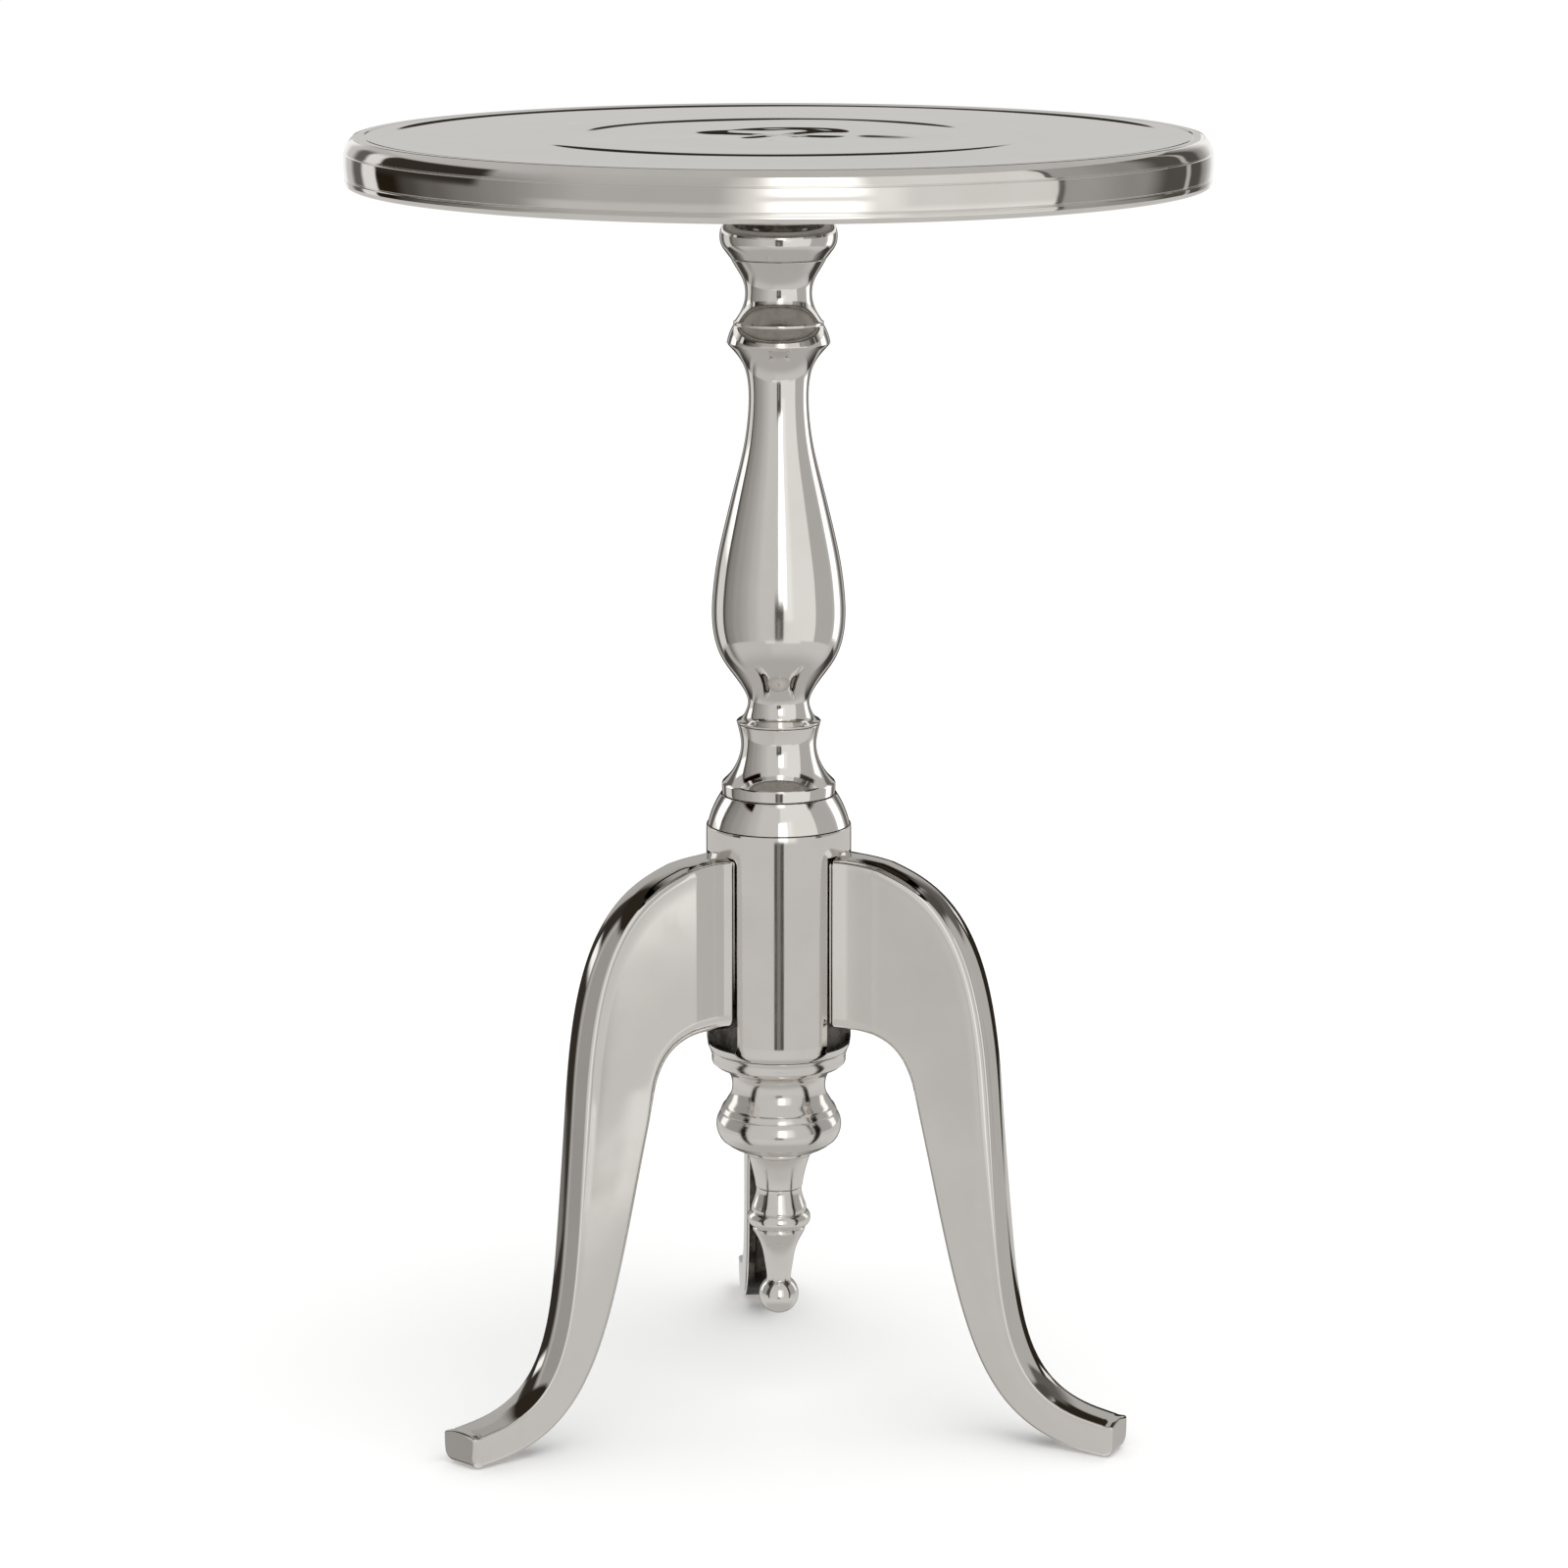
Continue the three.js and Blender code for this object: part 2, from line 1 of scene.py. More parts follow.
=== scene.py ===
import math

import bmesh
import bpy
import numpy as np
from mathutils import Matrix, Vector


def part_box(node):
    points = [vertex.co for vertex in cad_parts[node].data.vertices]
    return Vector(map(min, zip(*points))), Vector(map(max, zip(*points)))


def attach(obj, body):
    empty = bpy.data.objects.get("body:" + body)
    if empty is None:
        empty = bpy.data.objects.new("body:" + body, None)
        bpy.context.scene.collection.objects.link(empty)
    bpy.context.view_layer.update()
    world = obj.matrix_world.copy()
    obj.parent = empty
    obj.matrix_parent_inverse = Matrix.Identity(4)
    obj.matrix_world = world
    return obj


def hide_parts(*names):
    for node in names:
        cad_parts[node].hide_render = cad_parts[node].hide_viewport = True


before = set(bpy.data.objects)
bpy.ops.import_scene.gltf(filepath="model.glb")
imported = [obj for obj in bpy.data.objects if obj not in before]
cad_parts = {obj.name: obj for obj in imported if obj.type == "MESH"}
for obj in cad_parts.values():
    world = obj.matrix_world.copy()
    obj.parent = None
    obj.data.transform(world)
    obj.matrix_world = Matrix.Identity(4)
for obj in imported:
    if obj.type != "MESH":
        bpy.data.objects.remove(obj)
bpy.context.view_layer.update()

# A silver pedestal side table, mirror polished. Lengths below are in millimetres, and mesh() turns them into
# metres. The origin is on the floor on the column's axis, +Z is up and the rear leg points along +Y.

MM = 0.001
BODY = "root"

# ------------------------------------------------------------------ sizes

TABLE_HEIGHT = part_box("tray_top")[1][2] / MM
TRAY_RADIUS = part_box("tray_top")[1][0] / MM
RIM_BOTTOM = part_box("tray_top")[0][2] / MM
TRAY_WALL = 3.5
TRAY_SEAT = TABLE_HEIGHT - 8
PAD_RADIUS = 66

CLEARANCE = 0.3
EDGE = 0.35                      # how far the edges at a joint are eased, which draws its hairline
ROD_BORE = 4.6
CAPITAL_TOP = 574
NECK_SEAM = 553.3
COLLAR_SEAM = 334
DOME_SEAM = 300.4
HUB_TOP = 285.8
HUB_BOTTOM = 176
FINIAL_SEAM = 107

HUB_RADIUS = 34.4
HUB_BORE = 20
SLOT_FLOOR = 30
SLOT_TOP = 274.2
SLOT_BOTTOM = 179.5
SLOT_CORNER = 4

LEG_ANGLES = {"rear": 90, "left": 210, "right": 330}
LEG_HALF_WIDTH = 10.5
ROOT_HALF_WIDTH = 12.5
LEG_WALL = 4.5
SIDE_DRAW = 0.35                 # how far the leg's flat side lies inside its edges
FOOT_REACH = 182
FOOT_HEIGHT = 15.5
FOOT_CORNER = 5.5

LATHE_SIDES = 192
TRAY_SIDES = 300
PROFILE_STEP = 1.0


# ------------------------------------------------------------------ curves

def smooth(points, step=PROFILE_STEP):
    """A curve with no kinks through the points: a natural cubic spline over the chord length."""
    p = np.array(points, float)
    t = np.concatenate([[0], np.cumsum(np.linalg.norm(np.diff(p, axis=0), axis=1))])
    h = np.diff(t)
    n = len(p)
    a = np.eye(n)
    b = np.zeros_like(p)
    for i in range(1, n - 1):
        a[i, i - 1 : i + 2] = h[i - 1], 2 * (h[i - 1] + h[i]), h[i]
        b[i] = 6 * ((p[i + 1] - p[i]) / h[i] - (p[i] - p[i - 1]) / h[i - 1])
    m = np.linalg.solve(a, b)
    u = np.linspace(0, t[-1], max(3, int(t[-1] / step) + 1))
    k = np.clip(np.searchsorted(t, u, side="right") - 1, 0, n - 2)
    d, e, w = (u - t[k])[:, None], (t[k + 1] - u)[:, None], h[k][:, None]
    curve = (m[k] * e**3 + m[k + 1] * d**3) / (6 * w)
    curve += (p[k] / w - m[k] * w / 6) * e + (p[k + 1] / w - m[k + 1] * w / 6) * d
    return [tuple(q) for q in curve]


def bezier(a, b, c, d, count):
    """Points along the cubic from a to d that b and c pull on."""
    t = np.linspace(0, 1, count)[:, None]
    a, b, c, d = (np.array(p, float) for p in (a, b, c, d))
    return (1 - t) ** 3 * a + 3 * (1 - t) ** 2 * t * b + 3 * (1 - t) * t**2 * c + t**3 * d


def eased(outline, radius, corner=20, steps=4):
    """A closed outline with every corner sharper than that many degrees rounded."""
    p = [np.array(q, float) for q in outline]
    result = []
    for i, q in enumerate(p):
        before, after = q - p[i - 1], p[(i + 1) % len(p)] - q
        la, lb = np.linalg.norm(before), np.linalg.norm(after)
        if la < 1e-6 or lb < 1e-6:
            continue
        turn = math.acos(np.clip(before @ after / la / lb, -1, 1))
        if math.degrees(turn) < corner or q[0] < 1e-6:
            result.append(q)
            continue
        back = min(radius * math.tan(turn / 2), 0.45 * la, 0.45 * lb)
        start, end = q - before / la * back, q + after / lb * back
        for s in np.linspace(0, 1, steps + 1):
            result.append((1 - s) ** 2 * start + 2 * s * (1 - s) * q + s**2 * end)
    return result


def divided(outline, step):
    """The closed outline with its long straight stretches cut into steps."""
    result = []
    for i, q in enumerate(outline):
        nxt = outline[(i + 1) % len(outline)]
        count = max(1, math.ceil(np.linalg.norm(nxt - q) / step))
        result += [q + (nxt - q) * k / count for k in range(count)]
    return result


# ------------------------------------------------------------------ meshes

def mesh(name, verts, faces, materials, slots=None):
    """A new smooth-shaded object from points in millimetres."""
    data = bpy.data.meshes.new(name)
    data.from_pydata([tuple(float(c) * MM for c in v) for v in verts], [], [tuple(f) for f in faces])
    data.validate()
    for material in materials:
        data.materials.append(material)
    data.shade_smooth()
    if slots is not None:
        data.polygons.foreach_set("material_index", np.array(slots, dtype=np.int32))
    data.update()
    piece = bpy.data.objects.new(name, data)
    bpy.context.scene.collection.objects.link(piece)
    return piece


def turned(name, outline, materials, sides=LATHE_SIDES, ease=EDGE, slot_of=None, step=2.0):
    """A closed outline of (radius, height), outer side rising, turned about the Z axis."""
    ring = divided(eased(outline, ease), step)
    on_axis = [q[0] < 1e-6 for q in ring]
    verts, index = [], []
    angles = np.linspace(0, 2 * math.pi, sides, endpoint=False)
    for q, centre in zip(ring, on_axis):
        if centre:
            index.append([len(verts)] * sides)
            verts.append((0, 0, q[1]))
        else:
            index.append(list(range(len(verts), len(verts) + sides)))
            verts += [(q[0] * math.cos(a), q[0] * math.sin(a), q[1]) for a in angles]
    faces, slots = [], []
    for i in range(len(ring)):
        j = (i + 1) % len(ring)
        if on_axis[i] and on_axis[j]:
            continue
        slot = slot_of((ring[i] + ring[j]) / 2) if slot_of else 0
        for k in range(sides):
            l = (k + 1) % sides
            corners = [index[i][k], index[i][l], index[j][l], index[j][k]]
            faces.append(list(dict.fromkeys(corners)))
            slots.append(slot)
    return mesh(name, verts, faces, materials, slots)


def finish_piece(piece, slot, *nodes):
    """Makes the piece stand for CAD nodes: hangs it on the body and hides the nodes. The slot, the name of one of
    the record's material slots, is not used.
    """
    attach(piece, BODY)
    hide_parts(*nodes)
    return piece


# ------------------------------------------------------------------ materials

class Nodes:
    """Short names for building a node tree: a new material's, or the tree given."""

    def __init__(self, name, tree=None):
        if tree is None:
            self.material = bpy.data.materials.new(name)
            self.material.use_nodes = True
            tree = self.material.node_tree
            self.shader = tree.nodes["Principled BSDF"]
        self.tree = tree

    def add(self, kind, inputs=None, **settings):
        node = self.tree.nodes.new(kind)
        for key, value in settings.items():
            setattr(node, key, value)
        for key, value in (inputs or {}).items():
            self.put(node.inputs[key], value)
        return node

    def put(self, socket, value):
        if isinstance(value, bpy.types.NodeSocket):
            self.tree.links.new(value, socket)
        else:
            socket.default_value = value

    def maths(self, operation, a, b=0.0, c=0.0):
        return self.add("ShaderNodeMath", {0: a, 1: b, 2: c}, operation=operation).outputs[0]

    def spread(self, value, low, high, to_low, to_high):
        """Takes the range from low to high smoothly to the range from to_low to to_high."""
        inputs = {"Value": value, "From Min": low, "From Max": high, "To Min": to_low, "To Max": to_high}
        return self.add("ShaderNodeMapRange", inputs, interpolation_type="SMOOTHSTEP").outputs["Result"]

    def mix(self, factor, a, b):
        node = self.add("ShaderNodeMix", data_type="RGBA")
        self.put(node.inputs["Factor"], factor)
        self.put(node.inputs["A"], a)
        self.put(node.inputs["B"], b)
        return node.outputs["Result"]

    def noise(self, vector, scale, detail=3.0, roughness=0.5):
        inputs = {"Vector": vector, "Scale": scale, "Detail": detail, "Roughness": roughness}
        return self.add("ShaderNodeTexNoise", inputs).outputs["Fac"]

    def place(self):
        return self.add("ShaderNodeTexCoord").outputs["Object"]

    def scaled(self, vector, scale):
        return self.add("ShaderNodeMapping", {"Vector": vector, "Scale": scale}).outputs["Vector"]

    def around_axis(self):
        """(turn about Z, height, radius) of a point, so that a pattern can run round a turned piece."""
        x, y, z = self.add("ShaderNodeSeparateXYZ", {0: self.place()}).outputs
        turn = self.maths("ARCTAN2", y, x)
        reach = self.maths("SQRT", self.maths("ADD", self.maths("MULTIPLY", x, x), self.maths("MULTIPLY", y, y)))
        return self.add("ShaderNodeCombineXYZ", {0: turn, 1: z, 2: reach}).outputs[0]

    def bump(self, height, strength, distance, normal=None):
        inputs = {"Height": height, "Strength": strength, "Distance": distance}
        node = self.add("ShaderNodeBump", inputs)
        if normal is not None:
            self.put(node.inputs["Normal"], normal)
        return node.outputs["Normal"]


SILVER = (0.84, 0.82, 0.79, 1)
SILVER_DULL = (0.79, 0.765, 0.73, 1)


def polished(name, roughness, smudge, wave, lathe_lines=0.0, pits=0.0):
    """Mirror polish with smudges, hairline scratches and a slow wave in the surface. Lines run round the axis
    where the piece was turned, and pits are pinholes in the casting."""
    n = Nodes(name)
    place = n.place()
    patches = n.noise(place, 28, 4, 0.6)
    streaks = n.noise(n.scaled(place, (60, 60, 900)), 3, 3, 0.7)
    n.put(n.shader.inputs["Base Color"], n.mix(n.spread(patches, 0.35, 0.85, 0, 1), SILVER, SILVER_DULL))
    rough = n.maths("MULTIPLY_ADD", n.spread(patches, 0.4, 0.7, 0, 1), smudge, roughness)
    rough = n.maths("MULTIPLY_ADD", n.spread(streaks, 0.55, 0.75, 0, 1), smudge * 0.5, rough)
    n.put(n.shader.inputs["Roughness"], rough)
    normal = n.bump(n.noise(place, 22, 1, 0.4), 1.0, wave)
    if lathe_lines:
        lines = n.noise(n.scaled(n.around_axis(), (0.4, 3200, 1200)), 1, 2, 0.6)
        normal = n.bump(lines, 1.0, lathe_lines, normal)
    if pits:
        cells = n.add("ShaderNodeTexVoronoi", {"Vector": place, "Scale": 260}, feature="F1").outputs["Distance"]
        sparse = n.spread(n.noise(place, 60, 1), 0.62, 0.7, 0, 1)
        hole = n.maths("MULTIPLY", n.spread(cells, 0.05, 0.16, 1, 0), sparse)
        normal = n.bump(n.maths("SUBTRACT", 0.0, hole), 1.0, pits, normal)
    n.put(n.shader.inputs["Normal"], normal)
    n.shader.inputs["Metallic"].default_value = 1
    return n.material


def raw_casting_and_shade(name, hollow, worn_and_shaded):
    """Sand-cast metal that was never polished: grainy, and blotched between the two colours. The colours given are
    darker than bare casting, as painted shade for the slots and the channels that it lines.
    """
    n = Nodes(name)
    place = n.place()
    grain = n.noise(place, 900, 5, 0.7)
    blotch = n.noise(place, 60, 4, 0.65)
    n.put(n.shader.inputs["Base Color"], n.mix(n.spread(blotch, 0.38, 0.68, 0, 1), hollow, worn_and_shaded))
    n.put(n.shader.inputs["Roughness"], n.spread(grain, 0.3, 0.7, 0.42, 0.72))
    n.put(n.shader.inputs["Normal"], n.bump(grain, 0.8, 0.0004))
    n.shader.inputs["Metallic"].default_value = 1
    return n.material


def satin(name):
    """The spun underside of the tray: dull, with rings from the lathe."""
    n = Nodes(name)
    rings = n.noise(n.scaled(n.around_axis(), (0.5, 10, 900)), 1, 3, 0.6)
    blotch = n.noise(n.place(), 14, 4, 0.6)
    n.put(n.shader.inputs["Base Color"],
          n.mix(n.spread(blotch, 0.3, 0.7, 0, 1), (0.36, 0.345, 0.325, 1), (0.48, 0.465, 0.44, 1)))
    n.put(n.shader.inputs["Roughness"], n.spread(rings, 0.3, 0.7, 0.3, 0.45))
    n.put(n.shader.inputs["Normal"], n.bump(rings, 0.6, 0.0001))
    n.shader.inputs["Metallic"].default_value = 1
    return n.material


def zinc_plate(name):
    """Zinc-plated steel, with a fine crystal grain."""
    n = Nodes(name)
    grain = n.noise(n.place(), 500, 4, 0.6)
    n.put(n.shader.inputs["Base Color"],
          n.mix(n.spread(grain, 0.3, 0.7, 0, 1), (0.5, 0.51, 0.53, 1), (0.64, 0.65, 0.66, 1)))
    n.put(n.shader.inputs["Roughness"], n.spread(grain, 0.3, 0.7, 0.28, 0.42))
    n.put(n.shader.inputs["Normal"], n.bump(grain, 0.3, 0.0001))
    n.shader.inputs["Metallic"].default_value = 1
    return n.material


# The polish is finest on the tray's top and coarsest on the small turned pieces at the bottom.
TRAY_METAL = polished("tray_polish", 0.03, 0.05, 0.00012)
TOP_METAL = polished("tray_top_polish", 0.012, 0.012, 0.00002)
COLUMN_METAL = polished("column_polish", 0.05, 0.06, 0.00012, lathe_lines=0.000004)
BOSS_METAL = polished("boss_polish", 0.13, 0.06, 0.00012, lathe_lines=0.000004)
FINIAL_METAL = polished("finial_polish", 0.12, 0.08, 0.00012, lathe_lines=0.000004, pits=0.0004)
LEG_METAL = polished("leg_polish", 0.035, 0.05, 0.0002)
# Raw casting: unpolished metal. Its dark colours are also painted shade for the gaps of the hub's slots.
RAW_CASTING_AND_SHADE = raw_casting_and_shade("raw_casting_and_shade", (0.05, 0.045, 0.04, 1), (0.19, 0.178, 0.16, 1))
# The legs' channel casting: raw metal, made near black as painted shade for the deep channel.
CHANNEL_CASTING_AND_SHADE = raw_casting_and_shade("raw_channel_and_shade", (0.012, 0.010, 0.008, 1), (0.12, 0.108, 0.092, 1))
SATIN = satin("satin_underside")
ZINC = zinc_plate("zinc_plate")


# ------------------------------------------------------------------ tray

# Shallow steps that the spinning left in the top: (radius, width, rise towards the rim). They end at TOP_EDGE.
TOP_RINGS = [(34, 10, 0.45), (60, 24, -0.20), (91, 8, 0.30), (118, 8, -0.26), (150, 24, -0.20), (180, 8, 0.38)]
TOP_DEPTH = 0.5
TOP_EDGE = TRAY_RADIUS - 11


def ring_step(r, at, width):
    return 0.5 + 0.5 * np.tanh(2.2 * (r - at) / width)


def top_height(r, turn=0.0):
    """The spun top: nearly flat, with a shallow step at each ring that is a little uneven round the tray."""
    height = TABLE_HEIGHT - TOP_DEPTH
    for i, (at, width, rise) in enumerate(TOP_RINGS):
        uneven = 1 + 0.18 * np.sin(2 * turn + 1.7 * i) + 0.12 * np.sin(5 * turn + 2.3 * i)
        height = height + rise * uneven * (ring_step(r, at, width) - 1)
    return height


def make_tray():
    inner = TRAY_RADIUS - TRAY_WALL
    underside = TABLE_HEIGHT - TRAY_WALL
    lip = smooth([(TRAY_RADIUS - 4.2, RIM_BOTTOM), (TRAY_RADIUS - 1.6, RIM_BOTTOM + 0.5),
                  (TRAY_RADIUS - 0.5, RIM_BOTTOM + 2.2), (TRAY_RADIUS - 0.5, RIM_BOTTOM + 4.1)], 0.4)
    lip.append((TRAY_RADIUS - 0.95, RIM_BOTTOM + 4.6))
    skirt = smooth([(TRAY_RADIUS - 0.35, RIM_BOTTOM + 5.1), (TRAY_RADIUS, RIM_BOTTOM + 10),
                    (TRAY_RADIUS - 0.2, TABLE_HEIGHT - 7.6)], 1.0)
    skirt.append((TRAY_RADIUS - 0.9, TABLE_HEIGHT - 7.1))
    shoulder = smooth([(TRAY_RADIUS - 0.5, TABLE_HEIGHT - 6.6), (TRAY_RADIUS - 1.5, TABLE_HEIGHT - 4.3),
                       (TRAY_RADIUS - 2.9, TABLE_HEIGHT - 1.9), (TRAY_RADIUS - 4.3, TABLE_HEIGHT - 0.6)], 0.5)
    lid = [(TRAY_RADIUS - 4.8, TABLE_HEIGHT - 0.75), (TRAY_RADIUS - 5.2, TABLE_HEIGHT - 0.4),
           (TRAY_RADIUS - 9.2, TABLE_HEIGHT - 0.35), (TRAY_RADIUS - 9.6, TABLE_HEIGHT - 0.6),
           (TRAY_RADIUS - 10, TABLE_HEIGHT - 0.5)]
    top = [(r, top_height(r)) for r in np.arange(TOP_EDGE - 0.5, 0.6, -1.5)]
    outline = [
        (0, TRAY_SEAT), (PAD_RADIUS, TRAY_SEAT), (PAD_RADIUS + 4, underside),
        (inner - 6, underside), (inner, underside - 6), (inner, RIM_BOTTOM + 4), (inner - 1, RIM_BOTTOM + 2.4),
        *lip, *skirt, *shoulder, *lid, *top, (0, top_height(0)),
    ]

    def metal(q):
        if q[0] < inner + 0.5 and q[1] < underside + 1:
            return 1
        return 2 if q[0] < TRAY_RADIUS - 4.5 else 0

    piece = turned("tray", outline, [TRAY_METAL, SATIN, TOP_METAL], TRAY_SIDES, 0.3, metal, 6.0)
    for vertex in piece.data.vertices:
        x, y, z = vertex.co / MM
        reach = math.hypot(x, y)
        if z > underside + 1 and reach < TOP_EDGE:
            vertex.co.z = float(top_height(reach, math.atan2(y, x))) * MM
    return finish_piece(piece, "polished_tray", "tray_top")


# The flange under the tray, and its screws.
FLANGE_TOP = TRAY_SEAT - CLEARANCE
FLANGE_PLATE = FLANGE_TOP - 6
FLANGE_SCREW_CIRCLE = 46


def make_flange():
    outline = [(24, CAPITAL_TOP + CLEARANCE), (24, FLANGE_PLATE - 6), (25.8, FLANGE_PLATE - 1.8),
               (30, FLANGE_PLATE), (58.5, FLANGE_PLATE), (60, FLANGE_PLATE + 1.5), (60, FLANGE_TOP),
               (4.3, FLANGE_TOP), (4.3, CAPITAL_TOP - 4), (12, CAPITAL_TOP - 4), (12, CAPITAL_TOP + CLEARANCE)]
    return finish_piece(turned("flange", outline, [RAW_CASTING_AND_SHADE], 120, 0.5), "rough_casting", "tray_flange")


def make_flange_screw(number):
    """A round head with a cross recess, over its shank. The head is a grid of rings, pressed in along two arms."""
    angle = math.radians(90 * number - 45)
    middle = Vector((FLANGE_SCREW_CIRCLE * math.cos(angle), FLANGE_SCREW_CIRCLE * math.sin(angle), 0))
    seat = FLANGE_PLATE - CLEARANCE
    head = [(r, seat - 3.2 + 0.17 * r + 0.09 * r * r) for r in np.linspace(0.3, 3.9, 13)]
    profile = [*head, (4.5, seat - 0.9), (4.6, seat - 0.3), (4.4, seat), (2.5, seat), (2.5, TRAY_SEAT + 5.2),
               (2.1, TRAY_SEAT + 5.5)]
    sides = 48
    verts, faces = [], []
    for i, (r, z) in enumerate(profile):
        for k in range(sides):
            turn = 2 * math.pi * k / sides
            x, y = r * math.cos(turn + number), r * math.sin(turn + number)
            spread_x, spread_y = r * abs(math.cos(turn)), r * abs(math.sin(turn))
            in_arm = min(spread_x, spread_y) < 0.55 and max(spread_x, spread_y) < 2.5
            press = 1.5 * (1 - max(spread_x, spread_y) / 3.4) if in_arm and i < len(head) else 0
            verts.append(middle + Vector((x, y, z + press)))
    for i in range(len(profile) - 1):
        for k in range(sides):
            l = (k + 1) % sides
            faces.append((i * sides + k, i * sides + l, (i + 1) * sides + l, (i + 1) * sides + k))
    faces.append(tuple(range(sides))[::-1])
    faces.append(tuple(range((len(profile) - 1) * sides, len(profile) * sides)))
    screw = mesh(f"flange_screw_head_{number}", verts, faces, [ZINC])
    outwards(screw)
    screw.data.set_sharp_from_angle(angle=math.radians(40))
    return finish_piece(screw, "zinc_steel", f"flange_screw_{number}")


def outwards(piece):
    """Turns every face of a closed piece to point out."""
    copy = bmesh.new()
    copy.from_mesh(piece.data)
    bmesh.ops.recalc_face_normals(copy, faces=copy.faces)
    copy.to_mesh(piece.data)
    copy.free()


# ------------------------------------------------------------------ column

def solid_bore(outside, recess=0, spigot=0, wall=4.5, web=5, ring=4):
    """The closed outline of a hollow casting: the outside, then the bore and cavity coming back down."""
    bottom, top = outside[0][1], outside[-1][1]
    roof = top - web - (ring if recess else 0)
    floor = bottom + web
    cavity = [(max(ROD_BORE + 1, r - wall), z) for r, z in outside[::3] if floor < z < roof]
    upper = [(recess, top), (recess, top - ring - CLEARANCE), (ROD_BORE, top - ring - CLEARANCE)]
    lower = [(ROD_BORE, bottom - ring), (spigot, bottom - ring), (spigot, bottom)]
    inside = [(ROD_BORE, roof), (cavity[-1][0], roof), *cavity[::-1], (cavity[0][0], floor), (ROD_BORE, floor)]
    return [*outside, *(upper if recess else [(ROD_BORE, top)]), *inside,
            *(lower if spigot else [(ROD_BORE, bottom)])]


def make_capital():
    side = smooth([(22.5, NECK_SEAM + CLEARANCE), (24.6, 556.4), (26.7, 559.8), (27.3, 563.4), (26.6, 567.6),
                   (24.6, 570.6)], 0.5)
    outline = solid_bore([*side, (23.6, CAPITAL_TOP)], 12.3, 12)
    return finish_piece(turned("capital_cup", outline, [COLUMN_METAL]), "polished_column", "capital")


def make_baluster():
    ridge = smooth([(19.7, COLLAR_SEAM + CLEARANCE), (20.0, COLLAR_SEAM + 0.9), (18.2, 336.4), (15.6, 339.8),
                    (14.5, 343.6), (17, 351.1), (22.2, 358.6), (27.1, 366.1), (30.3, 375.5), (31.4, 387),
                    (30.8, 398), (28.7, 413), (25.5, 427.7), (20, 449.9), (16.3, 465.5), (14.5, 478),
                    (13.95, 487), (14.6, 497.5), (16.2, 503.3), (19.5, 508.7), (23.2, 512.9)])
    ring = smooth([(24.1, 514.2), (23.7, 516), (22.8, 518.8), (21.6, 521.4), (20.8, 522.7)], 0.6)
    ring += [(21.1, 523.0), (21.0, 523.9)]
    neck = smooth([(20.3, 524.3), (17.6, 528.7), (16, 533), (15.5, 537), (16.1, 541.6), (17.6, 545.3),
                   (19.7, 548.8), (22.3, NECK_SEAM)])
    outline = solid_bore([*ridge, *ring, *neck], 12.3, 11)
    return finish_piece(turned("baluster_vase", outline, [COLUMN_METAL]), "polished_column", "baluster")


def make_collar():
    flare = smooth([(26.5, 306.2), (23.1, 309.7), (20.2, 314.3), (18.3, 319.6), (17.8, 324.6), (18.4, 329),
                    (19.6, COLLAR_SEAM)], 0.7)
    outline = solid_bore([(26.8, DOME_SEAM + CLEARANCE), (26.9, 305.4), *flare], 11.3, 16)
    return finish_piece(turned("collar", outline, [COLUMN_METAL]), "polished_column", "lower_collar")


def make_dome():
    side = smooth([(33.6, HUB_TOP + CLEARANCE), (32.3, 290.5), (30.7, 294.5), (28.8, 298.2), (27.5, DOME_SEAM)],
                  0.6)
    spigot = HUB_BORE - CLEARANCE
    outline = [*side, (16.3, DOME_SEAM), (16.3, DOME_SEAM - 4.3), (ROD_BORE, DOME_SEAM - 4.3),
               (ROD_BORE, HUB_TOP - 4), (spigot, HUB_TOP - 4), (spigot, HUB_TOP + CLEARANCE)]
    return finish_piece(turned("dome", outline, [COLUMN_METAL]), "polished_column", "dome_cap")


def make_boss():
    skirt = smooth([(11.2, FINIAL_SEAM + CLEARANCE), (11.7, 110.5), (12.9, 115.8), (14.6, 121.6), (15.4, 123.6)],
                   0.6)
    skirt += smooth([(16.1, 123.9), (17.0, 124.9), (16.9, 126.1), (16.1, 126.7)], 0.3)
    step = [(19.4, 126.8), (22.3, 127.6), (24.6, 129), (25.8, 130.1)]
    bulb = [(26.5, 130.5), (27.3, 131.1), (27.9, 131.9)]
    torus = smooth([(28.2, 132.3), (29.2, 134.4), (29.9, 138.2), (29.4, 141.6), (28.1, 144.3)], 0.6)
    cone = [(27.5, 144.7), (27.9, 145.1), (26.9, 147.4), (26.3, 147.9)]
    waist = smooth([(25.9, 148.4), (24.8, 150.3), (22.9, 153.6), (22.3, 157), (22.7, 161), (24, 164),
                    (26, 166)], 0.6)
    rim = [(30, 168), (31.7, 169.4), (32, 170.2), (32.1, 173.2), (32.9, HUB_BOTTOM - CLEARANCE)]
    pocket = FINIAL_SEAM + CLEARANCE + 10
    outline = [
        *skirt, *step, *bulb, *torus, *cone, *waist, *rim,
        (HUB_BORE - CLEARANCE, HUB_BOTTOM - CLEARANCE), (HUB_BORE - CLEARANCE, HUB_BOTTOM + 4),
        (ROD_BORE, HUB_BOTTOM + 4), (ROD_BORE, 168), (17.2, 166), (17.2, 157), (23.4, 138.8), (17.2, pocket + 12),
        (ROD_BORE, pocket + 9), (ROD_BORE, pocket), (8.6, pocket), (8.6, FINIAL_SEAM + CLEARANCE),
    ]
    return finish_piece(turned("boss", outline, [BOSS_METAL]), "polished_column", "hub_boss")


